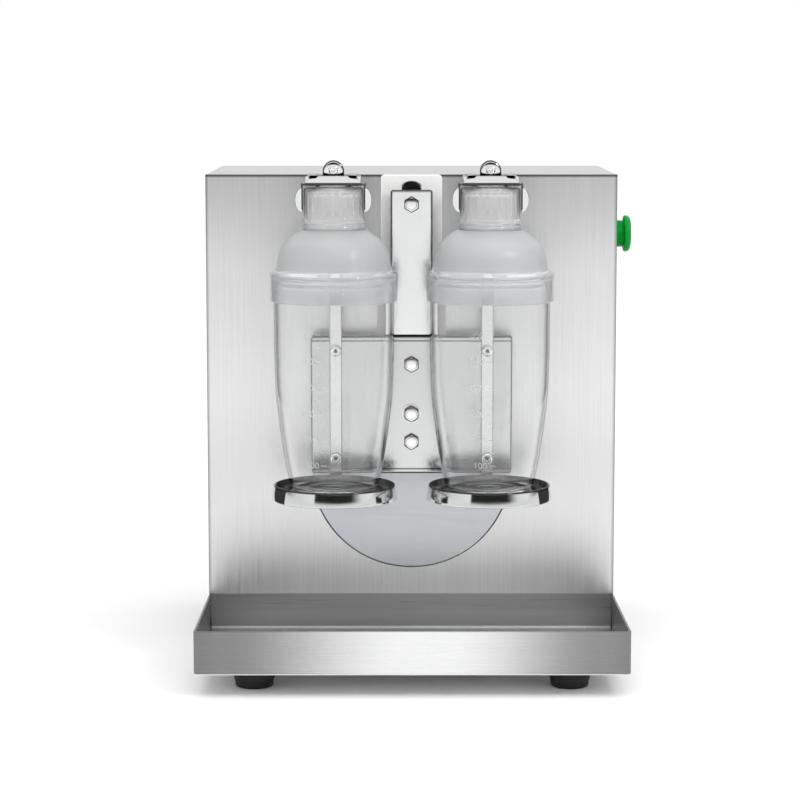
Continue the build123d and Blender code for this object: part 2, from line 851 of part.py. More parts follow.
def make_crank_pin():
    """Shoulder bolt on the disc that the arm's bush turns on."""
    head_out = arm_out + seam_gap + washer_thickness
    with BuildPart() as crank_pin:
        with BuildSketch(facing(disc_out - disc_thickness, z=pin_level)):
            Circle(pin_radius)
        extrude(amount=head_out - disc_out + disc_thickness)
        with BuildSketch(facing(head_out, z=pin_level)):
            RegularPolygon(hex_across_flats / 2, 6, major_radius=False, rotation=30)
        extrude(amount=hex_head_height)
    save(crank_pin, "crank_pin")


def make_pin_washer():
    """Washer under the crank pin's head."""
    with BuildPart() as pin_washer:
        with BuildSketch(facing(arm_out + seam_gap, z=pin_level)):
            Circle(washer_radius)
            Circle(pin_radius + screw_clearance, mode=Mode.SUBTRACT)
        extrude(amount=washer_thickness)
    save(pin_washer, "pin_washer")


# ======================================================================================
# Shaking arm
# ======================================================================================
def make_arm_channel():
    """Upright channel from the cross box to the guide roller."""
    back = arm_out - channel_depth
    height = channel_top - box_top
    middle = (channel_top + box_top) / 2
    with BuildPart() as arm_channel:
        with BuildSketch(facing(back, z=middle)):
            Rectangle(channel_width, height)
        extrude(amount=channel_depth)
        with BuildSketch(facing(back, z=middle - arm_sheet / 2)):
            Rectangle(channel_width - 2 * arm_sheet, height - arm_sheet)
        extrude(amount=channel_depth - arm_sheet, mode=Mode.SUBTRACT)
        face_edges = arm_channel.faces().sort_by(Axis.Y)[0].edges()
        fillet(face_edges.group_by(Axis.Z)[-1] + face_edges.filter_by(Axis.Z), fold_radius)
        with BuildSketch(facing(arm_out, z=roller_level)):
            Circle(bolt_radius + screw_clearance)
        extrude(amount=-arm_sheet, mode=Mode.SUBTRACT)
    save(arm_channel, "arm_channel")


def make_cross_box():
    """Wide folded box that both cup carriers are bolted to."""
    back = arm_out - box_depth
    height = box_top - box_bottom
    middle = (box_top + box_bottom) / 2
    with BuildPart() as cross_box:
        with BuildSketch(facing(back, z=middle)):
            Rectangle(2 * box_half_width, height)
        extrude(amount=box_depth)
        with BuildSketch(facing(back, z=middle)):
            Rectangle(2 * box_half_width - 2 * arm_sheet, height - 2 * arm_sheet)
        extrude(amount=box_depth - arm_sheet, mode=Mode.SUBTRACT)
        fillet(cross_box.faces().sort_by(Axis.Y)[0].edges(), fold_radius)
        with BuildSketch(facing(arm_out)):
            with Locations((0, upper_bolt_level), (0, lower_bolt_level)):
                Circle(bolt_radius + screw_clearance)
            with Locations((0, pin_level)):
                Circle(pin_radius + seam_gap)
            with Locations(*[(x, z) for name, x in cup_sides for z in strap_bolt_levels]):
                Circle(strap_bolt_radius + screw_clearance)
        extrude(amount=-arm_sheet, mode=Mode.SUBTRACT)
        with BuildSketch(level(box_top)):
            with Locations(*[(x, panel_y - rod_out) for name, x in cup_sides]):
                Circle(rod_radius + rod_fit)
        extrude(amount=-arm_sheet, mode=Mode.SUBTRACT)
    save(cross_box, "cross_box")


def make_bearing_block():
    """Block behind the cross box that holds the crank pin's bush."""
    back = arm_out - arm_sheet - block_depth
    with BuildPart() as bearing_block:
        with BuildSketch(facing(back, z=(block_top + block_bottom) / 2)):
            RectangleRounded(2 * block_half_width, block_top - block_bottom, 4.0)
        extrude(amount=block_depth)
        with BuildSketch(facing(back)):
            with Locations((0, pin_level)):
                Circle(pin_radius + bush_wall)
            with Locations((0, upper_bolt_level), (0, lower_bolt_level)):
                Circle(bolt_radius + screw_clearance)
        extrude(amount=block_depth, mode=Mode.SUBTRACT)
    save(bearing_block, "bearing_block")


def make_arm_bush():
    """Bronze bush that runs on the crank pin."""
    back = arm_out - arm_sheet - block_depth
    with BuildPart() as arm_bush:
        with BuildSketch(facing(back, z=pin_level)):
            Circle(pin_radius + bush_wall)
            Circle(pin_radius + running_fit, mode=Mode.SUBTRACT)
        extrude(amount=block_depth)
    save(arm_bush, "arm_bush")


def make_arm_bolts():
    """Two hex bolts through the cross box into the bearing block."""
    levels = (upper_bolt_level, lower_bolt_level)
    with BuildPart() as arm_bolts:
        with BuildSketch(facing(arm_out)):
            with Locations(*[(0, z) for z in levels]):
                RegularPolygon(hex_across_flats / 2, 6, major_radius=False, rotation=30)
        extrude(amount=hex_head_height)
        with BuildSketch(facing(arm_out)):
            with Locations(*[(0, z) for z in levels]):
                Circle(bolt_radius)
        extrude(amount=-(arm_sheet + block_depth))
    save(arm_bolts, "arm_bolts")


def make_roller_bolt():
    """Hex shoulder bolt at the top of the channel that the guide roller turns on."""
    shoulder_back = guide_thickness + roller_gap + roller_width + seam_gap
    with BuildPart() as roller_bolt:
        with BuildSketch(facing(arm_out, z=roller_level)):
            RegularPolygon(hex_across_flats / 2, 6, major_radius=False, rotation=30)
        extrude(amount=hex_head_height)
        with BuildSketch(facing(arm_out, z=roller_level)):
            Circle(bolt_radius)
        extrude(amount=-(arm_out - guide_thickness - roller_gap))
        with BuildSketch(facing(arm_out - arm_sheet, z=roller_level)):
            Circle(bolt_radius + 2.2)
        extrude(amount=-(arm_out - arm_sheet - shoulder_back))
    save(roller_bolt, "roller_bolt")


def make_guide_roller():
    """Roller on the end of the bolt, a hair in front of the guide plate."""
    with BuildPart() as guide_roller:
        with BuildSketch(facing(guide_thickness + roller_gap, z=roller_level)):
            Circle(roller_radius)
            Circle(bolt_radius + running_fit, mode=Mode.SUBTRACT)
        extrude(amount=roller_width)
    save(guide_roller, "guide_roller")


def make_strap(side, x):
    """Bent strap: a foot under the dish, an upright behind the cup and a tab for the rod."""
    front = arm_out + strap_thickness
    foot_top = dish_bottom
    foot_bottom = foot_top - strap_thickness
    reach = cup_out + strap_reach_front
    tab_back = arm_out - strap_reach_back
    with BuildPart() as strap:
        with BuildSketch(sideways(x - strap_width / 2)):
            with BuildLine():
                Polyline(
                    (-reach, foot_bottom),
                    (-arm_out, foot_bottom),
                    (-arm_out, strap_top - strap_thickness),
                    (-tab_back, strap_top - strap_thickness),
                    (-tab_back, strap_top),
                    (-front, strap_top),
                    (-front, foot_top),
                    (-reach, foot_top),
                    close=True,
                )
            make_face()
        extrude(amount=strap_width)
        with BuildSketch(facing(front, x)):
            with Locations(*[(0, z) for z in strap_bolt_levels]):
                Circle(strap_bolt_radius + screw_clearance)
        extrude(amount=-strap_thickness, mode=Mode.SUBTRACT)
        with BuildSketch(level(strap_top, x, panel_y - rod_out)):
            Circle(rod_radius + rod_fit)
        extrude(amount=-strap_thickness, mode=Mode.SUBTRACT)
        with BuildSketch(level(foot_top, x, panel_y - cup_out)):
            Circle(strap_bolt_radius + screw_clearance)
        extrude(amount=-strap_thickness, mode=Mode.SUBTRACT)
    save(strap, f"strap_{side}")


def make_strap_bolts():
    """Round-headed bolts that hold both straps to the cross box."""
    front = arm_out + strap_thickness
    places = [(x, z) for name, x in cup_sides for z in strap_bolt_levels]
    with BuildPart() as strap_bolts:
        with BuildSketch(facing(front)):
            with Locations(*places):
                Circle(strap_head_radius)
        extrude(amount=strap_head_height)
        rims = strap_bolts.edges().filter_by(GeomType.CIRCLE).group_by(Axis.Y)[0]
        fillet(rims, 1.6)
        with BuildSketch(facing(front)):
            with Locations(*places):
                Circle(strap_bolt_radius)
        extrude(amount=-(strap_thickness + arm_sheet + 0.8))
    save(strap_bolts, "strap_bolts")


def make_dish(side, x):
    """Pressed dish: a sloping outer wall, a raised floor and a boss for its screw."""
    floor_under = dish_floor - dish_wall
    with BuildPart() as dish:
        with BuildSketch(facing(cup_out, x)):
            with BuildLine():
                Polyline(
                    (0, dish_bottom),
                    (dish_boss_radius, dish_bottom),
                    (dish_boss_radius, floor_under),
                    (dish_rim_radius - 2 * dish_wall, floor_under),
                    (dish_foot_radius - dish_wall, dish_bottom),
                    (dish_foot_radius, dish_bottom),
                    (dish_rim_radius, dish_top),
                    (dish_rim_radius - dish_wall, dish_top),
                    (dish_rim_radius - 2 * dish_wall, dish_floor),
                    (0, dish_floor),
                    close=True,
                )
            make_face()
        revolve(axis=Axis((middle_x + x, panel_y - cup_out, 0), (0, 0, 1)))
        with BuildSketch(level(dish_bottom, x, panel_y - cup_out)):
            Circle(strap_bolt_radius + screw_clearance)
        extrude(amount=5.0, mode=Mode.SUBTRACT)
    save(dish, f"dish_{side}")


def make_dish_screws():
    """Screws from below, through the strap's foot into each dish."""
    bottom = dish_bottom - strap_thickness
    places = [(x, panel_y - cup_out) for name, x in cup_sides]
    with BuildPart() as dish_screws:
        with BuildSketch(level(bottom)):
            with Locations(*places):
                Circle(4.5)
        extrude(amount=-2.2)
        with BuildSketch(level(bottom)):
            with Locations(*places):
                Circle(strap_bolt_radius)
        extrude(amount=strap_thickness + 4.6)
    save(dish_screws, "dish_screws")


# ======================================================================================
# Cups
# ======================================================================================
def make_shaker_cup(side, x):
    """Clear beaker that widens from its base, with a straight upper wall."""
    inner = [(z, r - cup_wall) for z, r in cup_profile]
    with BuildPart() as shaker_cup:
        with BuildSketch(facing(cup_out, x)):
            with BuildLine():
                Line((0, cup_bottom), (cup_base_radius, cup_bottom))
                Spline(
                    (cup_base_radius, cup_bottom),
                    *[(r, z) for z, r in cup_profile],
                    (cup_rim_radius, cup_straight_from),
                    tangents=((0.25, 1), (0, 1)),
                )
                Line((cup_rim_radius, cup_straight_from), (cup_rim_radius, cup_rim))
                Line((cup_rim_radius, cup_rim), (cup_rim_radius - cup_wall, cup_rim))
                Line((cup_rim_radius - cup_wall, cup_rim),
                     (cup_rim_radius - cup_wall, cup_straight_from))
                Spline(
                    (cup_rim_radius - cup_wall, cup_straight_from),
                    *[(r, z) for z, r in reversed(inner)],
                    (cup_base_radius - cup_wall, cup_bottom + cup_wall),
                    tangents=((0, -1), (-0.25, -1)),
                )
                Line((cup_base_radius - cup_wall, cup_bottom + cup_wall),
                     (0, cup_bottom + cup_wall))
                Line((0, cup_bottom + cup_wall), (0, cup_bottom))
            make_face()
        revolve(axis=Axis((middle_x + x, panel_y - cup_out, 0), (0, 0, 1)))
    save(shaker_cup, f"shaker_cup_{side}")


def make_shaker_dome(side, x):
    """Frosted lid: a collar over the cup's rim, a domed shoulder and a neck."""
    neck_in = neck_radius - cup_wall
    collar_in = cup_rim_radius + lid_fit
    with BuildPart() as shaker_dome:
        with BuildSketch(facing(cup_out, x)):
            with BuildLine():
                Polyline(
                    (collar_in, collar_bottom),
                    (collar_radius - 0.5, collar_bottom),
                    (collar_radius, collar_top),
                    (dome_radius, dome_foot),
                )
                RadiusArc((dome_radius, dome_foot), (neck_radius, dome_top - 1.0), -dome_curve)
                Polyline(
                    (neck_radius, dome_top - 1.0),
                    (neck_radius, neck_top),
                    (neck_in, neck_top),
                    (neck_in, dome_top - 3.0),
                )
                RadiusArc((neck_in, dome_top - 3.0), (dome_radius - cup_wall, dome_foot),
                          dome_curve - cup_wall)
                Polyline(
                    (dome_radius - cup_wall, dome_foot),
                    (dome_radius - cup_wall, cup_rim + lid_fit),
                    (collar_in, cup_rim + lid_fit),
                    (collar_in, collar_bottom),
                )
            make_face()
        revolve(axis=Axis((middle_x + x, panel_y - cup_out, 0), (0, 0, 1)))
    save(shaker_dome, f"shaker_dome_{side}")


def make_shaker_cap(side, x):
    """Small clear cap over the neck, with a wider skirt at its foot."""
    inside = neck_radius + lid_fit
    with BuildPart() as shaker_cap:
        with BuildSketch(facing(cup_out, x)):
            with BuildLine():
                Polyline(
                    (inside, dome_top),
                    (cap_skirt_radius, dome_top),
                    (cap_skirt_radius, cap_skirt_top),
                    (cap_radius, cap_skirt_top),
                    (cap_radius, cap_top - 1.5),
                    (cap_radius - 1.5, cap_top),
                    (0, cap_top),
                    (0, cap_top - cap_wall),
                    (inside, cap_top - cap_wall),
                    close=True,
                )
            make_face()
        revolve(axis=Axis((middle_x + x, panel_y - cup_out, 0), (0, 0, 1)))
    save(shaker_cap, f"shaker_cap_{side}")


# ======================================================================================
# Clamps
# ======================================================================================
def make_clamp_rod(side, x):
    """Upright rod with the collar that the spring pushes down."""
    place = (x, panel_y - rod_out)
    with BuildPart() as clamp_rod:
        with BuildSketch(level(rod_bottom, *place)):
            Circle(rod_radius)
        extrude(amount=head_top + lever_height - rod_bottom)
        with BuildSketch(level(rod_collar_level, *place)):
            Circle(rod_collar_radius)
        extrude(amount=rod_collar_height)
    save(clamp_rod, f"clamp_rod_{side}")


def make_clamp_lever(side, x):
    """Bar from the rod to the clamp head, ending in an upright rounded lug."""
    back = rod_out - rod_radius - 4.0
    lug_radius = lug_width / 2
    with BuildPart() as clamp_lever:
        with BuildSketch(sideways(x - lever_width / 2)):
            with Locations((-(back + lug_out_to) / 2, head_top + lever_height / 2)):
                Rectangle(lug_out_to - back, lever_height)
        extrude(amount=lever_width)
        with BuildSketch(facing(lug_out_from, x)):
            with BuildLine():
                Line((-lug_radius, head_top), (lug_radius, head_top))
                Line((lug_radius, head_top), (lug_radius, lug_top - lug_radius))
                ThreePointArc((lug_radius, lug_top - lug_radius), (0, lug_top),
                              (-lug_radius, lug_top - lug_radius))
                Line((-lug_radius, lug_top - lug_radius), (-lug_radius, head_top))
            make_face()
        extrude(amount=lug_out_to - lug_out_from)
        with BuildSketch(level(head_top, x, panel_y - rod_out)):
            Circle(rod_radius)
        extrude(amount=lever_height, mode=Mode.SUBTRACT)
        with BuildSketch(facing(lug_out_to, x, lug_screw_level)):
            Circle(small_screw_radius + screw_clearance)
        extrude(amount=-7.0, mode=Mode.SUBTRACT)
    save(clamp_lever, f"clamp_lever_{side}")


def make_clamp_head(side, x):
    """Saddle over the cap: a sloping cover, a pressure pad and two eared side plates."""
    with BuildPart() as clamp_head:
        with BuildSketch(level(head_skirt_bottom, x, panel_y - cup_out)):
            Rectangle(2 * head_half_width, 2 * head_half_depth)
        with BuildSketch(level(head_top, x, panel_y - cup_out)):
            Rectangle(2 * head_top_half_width, 2 * head_top_half_depth)
        loft()
        with BuildSketch(level(cap_top + head_gap, x, panel_y - cup_out)):
            Circle(head_pad_radius)
        extrude(amount=head_skirt_bottom - cap_top - head_gap)
        for hand in (-1, 1):
            outer = x + hand * (ear_inner + ear_thickness / 2)
            with BuildSketch(level(ear_bottom, outer, panel_y - cup_out)):
                Rectangle(ear_thickness, 2 * ear_half_depth)
            extrude(amount=head_skirt_bottom + ear_thickness - ear_bottom)
            bridge = x + hand * (ear_inner + ear_thickness + head_top_half_width) / 2
            with BuildSketch(level(head_skirt_bottom, bridge, panel_y - cup_out)):
                Rectangle(ear_inner + ear_thickness - head_top_half_width, 2 * ear_half_depth)
            extrude(amount=ear_thickness)
            edge = x + hand * (ear_inner + ear_thickness)
            middle = ear_bottom + ear_tab_height / 2
            with BuildSketch(facing(cup_out + ear_half_depth, edge, middle)):
                Ellipse(ear_tab, ear_tab_height / 2)
            extrude(amount=-ear_thickness)
        with BuildSketch(level(ear_bottom - 1.0, x, panel_y - cup_out)):
            Rectangle(2 * ear_inner, 4 * ear_half_depth)
        extrude(amount=cap_top - ear_bottom, mode=Mode.SUBTRACT)
    save(clamp_head, f"clamp_head_{side}")


def make_clamp_screw(side, x):
    """Round-headed screw on the front of the lug."""
    with BuildPart() as clamp_screw:
        with BuildSketch(facing(lug_out_to, x, lug_screw_level)):
            Circle(lug_screw_radius)
        extrude(amount=lug_screw_height)
        fillet(clamp_screw.edges().filter_by(GeomType.CIRCLE).sort_by(Axis.Y)[0], 1.6)
        with BuildSketch(facing(lug_out_to, x, lug_screw_level)):
            Circle(small_screw_radius)
        extrude(amount=-6.0)
    save(clamp_screw, f"clamp_screw_{side}")


def make_clamp_spring(side, x):
    """Compression spring round the rod, between its collar and the strap's tab."""
    bottom = rod_collar_level + rod_collar_height + spring_wire_radius
    top = strap_top - strap_thickness - spring_wire_radius
    place = (x, panel_y - rod_out)
    pitch = (top - bottom) / spring_turns
    with BuildPart() as clamp_spring:
        with BuildLine(level(bottom, *place)):
            Helix(pitch=pitch, height=top - bottom, radius=spring_mean_radius)
        with BuildSketch(facing(rod_out, x + spring_mean_radius, bottom)):
            Circle(spring_wire_radius)
        sweep(is_frenet=True)
    save(clamp_spring, f"clamp_spring_{side}")


def main():
    make_base_pan()
    make_body_shell()
    make_front_panel()
    make_rear_panel()
    make_rear_screws()
    make_rubber_feet()
    make_foot_screws()
    make_guide_plate()
    make_guide_screws()
    make_inner_frame()
    make_frame_bolts()
    make_bearing_housing()
    make_housing_bolts()
    make_crank_bearings()
    make_pulley("drive_pulley", big_pulley_radius, shaft_radius, crank_level,
                (big_pulley_radius - hub_radius) / 2 - 7.0)
    make_pulley("motor_pulley", small_pulley_radius, motor_shaft_radius, motor_level, 0.0)
    make_drive_belt()
    make_motor_body()
    make_motor_bolts()
    make_motor_shaft()
    make_start_capacitor()
    make_control_board()
    make_button_bezel()
    make_button_switch()
    make_button_cap()
    make_power_inlet()
    make_inlet_screws()
    make_crank_disc()
    make_crank_shaft()
    make_crank_pin()
    make_pin_washer()
    make_arm_channel()
    make_cross_box()
    make_bearing_block()
    make_arm_bush()
    make_arm_bolts()
    make_roller_bolt()
    make_guide_roller()
    make_strap_bolts()
    make_dish_screws()
    for side, x in cup_sides:
        make_strap(side, x)
        make_dish(side, x)
        make_shaker_cup(side, x)
        make_shaker_dome(side, x)
        make_shaker_cap(side, x)
        make_clamp_rod(side, x)
        make_clamp_lever(side, x)
        make_clamp_head(side, x)
        make_clamp_screw(side, x)
        make_clamp_spring(side, x)


main()
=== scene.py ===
"""Two-cup drink shaking machine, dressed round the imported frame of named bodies.

Shape functions work in machine millimetres: across from the machine's middle plane,
out in front of the front panel, and up from the table.  `place` turns them to metres.
"""

import math

import bpy
import numpy as np
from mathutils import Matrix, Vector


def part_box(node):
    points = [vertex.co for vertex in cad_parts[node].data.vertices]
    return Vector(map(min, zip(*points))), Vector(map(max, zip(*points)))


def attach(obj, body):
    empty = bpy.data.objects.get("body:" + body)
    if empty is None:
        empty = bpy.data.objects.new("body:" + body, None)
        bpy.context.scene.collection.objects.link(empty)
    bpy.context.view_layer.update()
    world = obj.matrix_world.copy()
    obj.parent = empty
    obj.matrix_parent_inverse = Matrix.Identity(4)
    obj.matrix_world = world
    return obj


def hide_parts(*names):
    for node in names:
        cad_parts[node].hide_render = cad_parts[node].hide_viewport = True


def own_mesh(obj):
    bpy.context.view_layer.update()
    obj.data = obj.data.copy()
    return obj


bl_info = {
    "name": "Drink shaking machine",
    "version": (1, 0, 0),
    "blender": (4, 5, 0),
    "location": "3D View > Sidebar > Shaker",
    "description": "Builds the detailed pieces and finishes of a two-cup shaking machine",
    "category": "Object",
}

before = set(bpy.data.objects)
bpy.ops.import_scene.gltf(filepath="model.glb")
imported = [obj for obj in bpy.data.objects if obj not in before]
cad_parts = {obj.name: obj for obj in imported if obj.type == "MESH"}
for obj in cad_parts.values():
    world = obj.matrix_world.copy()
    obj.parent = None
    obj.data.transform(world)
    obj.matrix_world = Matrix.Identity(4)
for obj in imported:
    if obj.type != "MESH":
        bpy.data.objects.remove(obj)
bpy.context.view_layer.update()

MM = 0.001
panel_low, panel_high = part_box("front_panel")
MIDDLE = (panel_low[0] + panel_high[0]) / 2 / MM
FRONT = panel_low[1] / MM
SIDES = ("left", "right")


def cup_axis(side):
    """Across and out position of a cup's axis, from its CAD box."""
    low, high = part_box(f"shaker_cup_{side}")
    return (low[0] + high[0]) / 2 / MM - MIDDLE, FRONT - (low[1] + high[1]) / 2 / MM


def span(node, axis):
    """Lowest and highest machine coordinate of a node along 0 across, 1 out or 2 up."""
    low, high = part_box(node)
    if axis == 0:
        return low[0] / MM - MIDDLE, high[0] / MM - MIDDLE
    if axis == 1:
        return FRONT - high[1] / MM, FRONT - low[1] / MM
    return low[2] / MM, high[2] / MM


def middle(node, axis):
    """Middle of a node's span."""
    return sum(span(node, axis)) / 2


# ======================================================================================
# Curves and profiles
# ======================================================================================
def unit(vectors):
    """Vectors divided by their lengths."""
    return vectors / np.linalg.norm(vectors, axis=-1, keepdims=True)


def rounded(corners, radii, steps=5, closed=True):
    """Corner points with each corner turned into an arc.

    The arc's centre lies on the bisector at radius / sin(half the corner's angle), and its
    points are the spherical blend of the two tangent points about that centre.
    """
    p = np.asarray(corners, float)
    r = np.broadcast_to(np.asarray(radii, float), (len(p),)).clip(0.02)
    back = np.roll(p, 1, 0) - p
    ahead = np.roll(p, -1, 0) - p
    if not closed:
        back[0] = [1.0, 0.0]
        ahead[-1] = [1.0, 0.0]
        ahead[0] = [0.0, 1.0]
        back[-1] = [0.0, 1.0]
    a = unit(back)
    b = unit(ahead)
    half = np.arccos((a * b).sum(1).clip(-0.99999, 0.99999)) / 2
    centre = p + unit(a + b) * (r / np.sin(half))[:, None]
    reach = (r / np.tan(half))[:, None]
    start = p + a * reach - centre
    end = p + b * reach - centre
    turn = (math.pi - 2 * half)[:, None, None]
    k = np.linspace(0, 1, steps)[None, :, None]
    arc = np.sin((1 - k) * turn) * start[:, None] + np.sin(k * turn) * end[:, None]
    points = centre[:, None] + arc / np.sin(turn)
    if closed:
        return points.reshape(-1, 2)
    return np.vstack([p[:1], points[1:-1].reshape(-1, 2), p[-1:]])


def flowing(knots, steps=6):
    """Catmull-Rom curve through the knots: each span is the cubic of its four neighbours."""
    p = np.asarray(knots, float)
    q = np.vstack([2 * p[0] - p[1], p, 2 * p[-1] - p[-2]])
    t = np.linspace(0, 1, steps, endpoint=False)[None, :, None]
    a, b, c, d = (q[i:len(q) - 3 + i, None] for i in range(4))
    cubic = 2 * b + (c - a) * t + (2 * a - 5 * b + 4 * c - d) * t**2
    cubic = (cubic + (3 * b - a - 3 * c + d) * t**3) / 2
    return np.vstack([cubic.reshape(-1, p.shape[1]), p[-1:]])


def arc(centre, radius, from_deg, to_deg, steps=10):
    """Points on a circle: centre + radius (cos a, sin a)."""
    a = np.radians(np.linspace(from_deg, to_deg, steps))
    return np.asarray(centre) + radius * np.stack([np.cos(a), np.sin(a)], 1)


def quarter(height, radius, sign=1, steps=4):
    """Rounding from a side wall to the face at height: inset radius (1 - cos a).

    The third column is the bend's edge value, the weight of its painted dark reflection,
    which falls to 0 where the face begins.
    """
    a = np.linspace(0, math.pi / 2, steps)
    drop = sign * radius * (1 - np.sin(a))
    painted_shade_weight = 1 - (a / a[-1]) ** 3
    return np.stack([radius * (1 - np.cos(a)), height - drop, painted_shade_weight], 1)


def block_levels(low, high, radius):
    """Inset and height of the rings of a slab whose two faces have rounded edges."""
    return np.vstack([quarter(low, radius, -1)[::-1], quarter(high, radius)])


def tray_levels(open_end, face, wall, radius):
    """Rings of a folded open box: inner face, inner wall, open edge, outer wall, face."""
    inward = math.copysign(1.0, face - open_end)
    inside = face - inward * wall
    inner = [[wall + 0.6, inside, 0], [wall, inside - inward * 0.6, 0], [wall, open_end, 0]]
    return np.vstack([inner, [[0.0, open_end, 0]], quarter(face, radius, inward, 6)])


def rectangle(across, up, radius, centre=(0.0, 0.0), steps=5):
    """Rounded rectangle outline, anticlockwise."""
    a, b = across / 2, up / 2
    corners = np.array([[-a, -b], [a, -b], [a, b], [-a, b]]) + centre
    return rounded(corners, radius, steps)


# ======================================================================================
# Surfaces
# ======================================================================================
def skin(rings, along=False, edge=None):
    """Quads between neighbouring closed rings of an (m, n, 3) array.

    `along` joins the last ring to the first; without it a fan to the ring's mean point
    closes each end.  `edge` holds one value per ring, or a row for all rings alike, 1 on a
    bend that gets painted dark reflection and 0 on a plain face.
    """
    m, n = rings.shape[:2]
    painted_shade_weight = np.zeros((m, 1)) if edge is None else np.asarray(edge, float)
    painted_shade_weight = (np.zeros((m, n)) + (painted_shade_weight[:, None] if painted_shade_weight.ndim == 1 else painted_shade_weight)).ravel()
    points = rings.reshape(-1, 3)
    index = np.arange(m * n).reshape(m, n)
    index = np.hstack([index, index[:, :1]])
    if along:
        index = np.vstack([index, index[:1]])
    quads = np.stack(
        [index[:-1, :-1], index[:-1, 1:], index[1:, 1:], index[1:, :-1]], -1
    ).reshape(-1, 4)
    fans = np.empty((0, 3), int)
    if not along:
        first = np.full(index.shape[1] - 1, len(points))
        last = first + 1
        fans = np.vstack([
            np.stack([index[0, 1:], index[0, :-1], first], 1),
            np.stack([index[-1, :-1], index[-1, 1:], last], 1),
        ])
        points = np.vstack([points, rings[0].mean(0), rings[-1].mean(0)])
        painted_shade_weight = np.concatenate([painted_shade_weight, [painted_shade_weight[0], painted_shade_weight[-1]]])
    triangles = np.vstack([quads[:, [0, 1, 2]], quads[:, [0, 2, 3]], fans])
    corner = points[triangles]
    volume = np.einsum("ij,ij->i", corner[:, 0], np.cross(corner[:, 1], corner[:, 2])).sum()
    if volume < 0:
        quads = quads[:, ::-1]
        fans = fans[:, ::-1]
    return points, quads, fans, painted_shade_weight


def place(local):
    """Machine millimetres (across, out, up) to metres in the frame."""
    across, out, up = np.moveaxis(np.asarray(local, float), -1, 0)
    return np.stack([(MIDDLE + across) * MM, (FRONT - out) * MM, up * MM], -1)


def stacked(a, b, height, plane):
    """Two outline coordinates and a height as (across, out, up) for the named plane."""
    order = {"front": (a, height, b), "top": (a, b, height), "side": (height, a, b)}
    return np.stack(np.broadcast_arrays(*order[plane]), -1)


def outward(outline):
    """Move of each vertex that takes every edge of a closed outline outwards by one.

    It is the sum of the two edges' normals over one plus their dot product.
    """
    following = np.roll(outline, -1, 0)
    edge = unit(following - outline)
    normal = np.stack([edge[:, 1], -edge[:, 0]], 1)
    area = (outline[:, 0] * following[:, 1] - outline[:, 1] * following[:, 0]).sum()
    normal *= math.copysign(1.0, area)
    before = np.roll(normal, 1, 0)
    return (normal + before) / (1 + (normal * before).sum(1))[:, None]


def slab(outline, levels, plane):
    """Outline moved inwards by each level's inset and raised to its height."""
    move = outward(outline)
    levels = np.asarray(levels, float)
    rings = outline[None] - move[None] * levels[:, 0, None, None]
    height = np.repeat(levels[:, 1:2], len(outline), 1)
    return skin(place(stacked(rings[..., 0], rings[..., 1], height, plane)),
                edge=levels[:, 2])


def turned(profile, centre, plane="top", sides=96, along=False, edge=None):
    """Profile of (radius, height) turned about an axis through centre.

    A point is centre + radius (cos t, sin t) across the axis + height along it.
    """
    radius, height = np.hsplit(np.asarray(profile, float), 2)
    t = np.linspace(0, 2 * math.pi, sides, endpoint=False)[None]
    rings = stacked(radius * np.cos(t), radius * np.sin(t), height, plane)
    return skin(place(rings + np.asarray(centre, float)), along=along, edge=edge)


def strip_section(width, thick, radius):
    """Flat bar's section as (across, thickness, edge), with a plain middle on each face;
    its rounded corners have edge 1, for painted dark reflection.
    """
    a, b = width / 2 - radius, thick / 2 - radius
    corners = []
    for sx, sy, turn in ((1, 1, 0), (-1, 1, 90), (-1, -1, 180), (1, -1, 270)):
        bend = arc((sx * a, sy * b), radius, turn, turn + 90, 4)
        face = np.array([[sx * (a - 0.7), sy * thick / 2]])
        bend = np.vstack([bend, face] if sx * sy > 0 else [face, bend])
        painted_shade_weight = np.ones(len(bend))
        painted_shade_weight[-1 if sx * sy > 0 else 0] = 0.0
        corners.append(np.column_stack([bend, painted_shade_weight]))
    return np.vstack(corners)


def swept(path, section, across):
    """Section of (across, thickness, edge) carried along a path of (out, up).

    The thickness runs along the path's normal, which is its tangent turned a quarter turn.
    """
    tangent = unit(np.gradient(path, axis=0))
    normal = np.stack([-tangent[:, 1], tangent[:, 0]], 1)
    line = path[:, None] + normal[:, None] * section[None, :, 1, None]
    x = across + np.broadcast_to(section[None, :, 0], line.shape[:2])
    rings = np.stack([x, line[..., 0], line[..., 1]], -1)
    return skin(place(rings), edge=section[None, :, 2])


def coil(centre, low, high, radius, wire, turns, sides=10):
    """Wire wound round an upright axis, with its end turns closed.

    The wire's middle is (R cos t, R sin t) and rises one wire per turn at each end and
    evenly between; its section turns about the radius and the up-and-round direction.
    """
    t = np.linspace(0, turns, int(turns * 28) + 1)
    rise = np.interp(t, [0, 1, turns - 1, turns], [low, low + 2 * wire, high - 2 * wire, high])
    angle = 2 * math.pi * t
    out = np.stack([np.cos(angle), np.sin(angle), np.zeros_like(t)], 1)
    middle = out * radius + np.stack([np.zeros_like(t), np.zeros_like(t), rise], 1)
    tangent = unit(np.gradient(middle, axis=0))
    up = np.cross(tangent, out)
    k = np.linspace(0, 2 * math.pi, sides, endpoint=False)[None, :, None]
    ring = middle[:, None] + wire * (np.cos(k) * out[:, None] + np.sin(k) * up[:, None])
    return skin(place(ring + np.array([centre[0], centre[1], 0.0])))


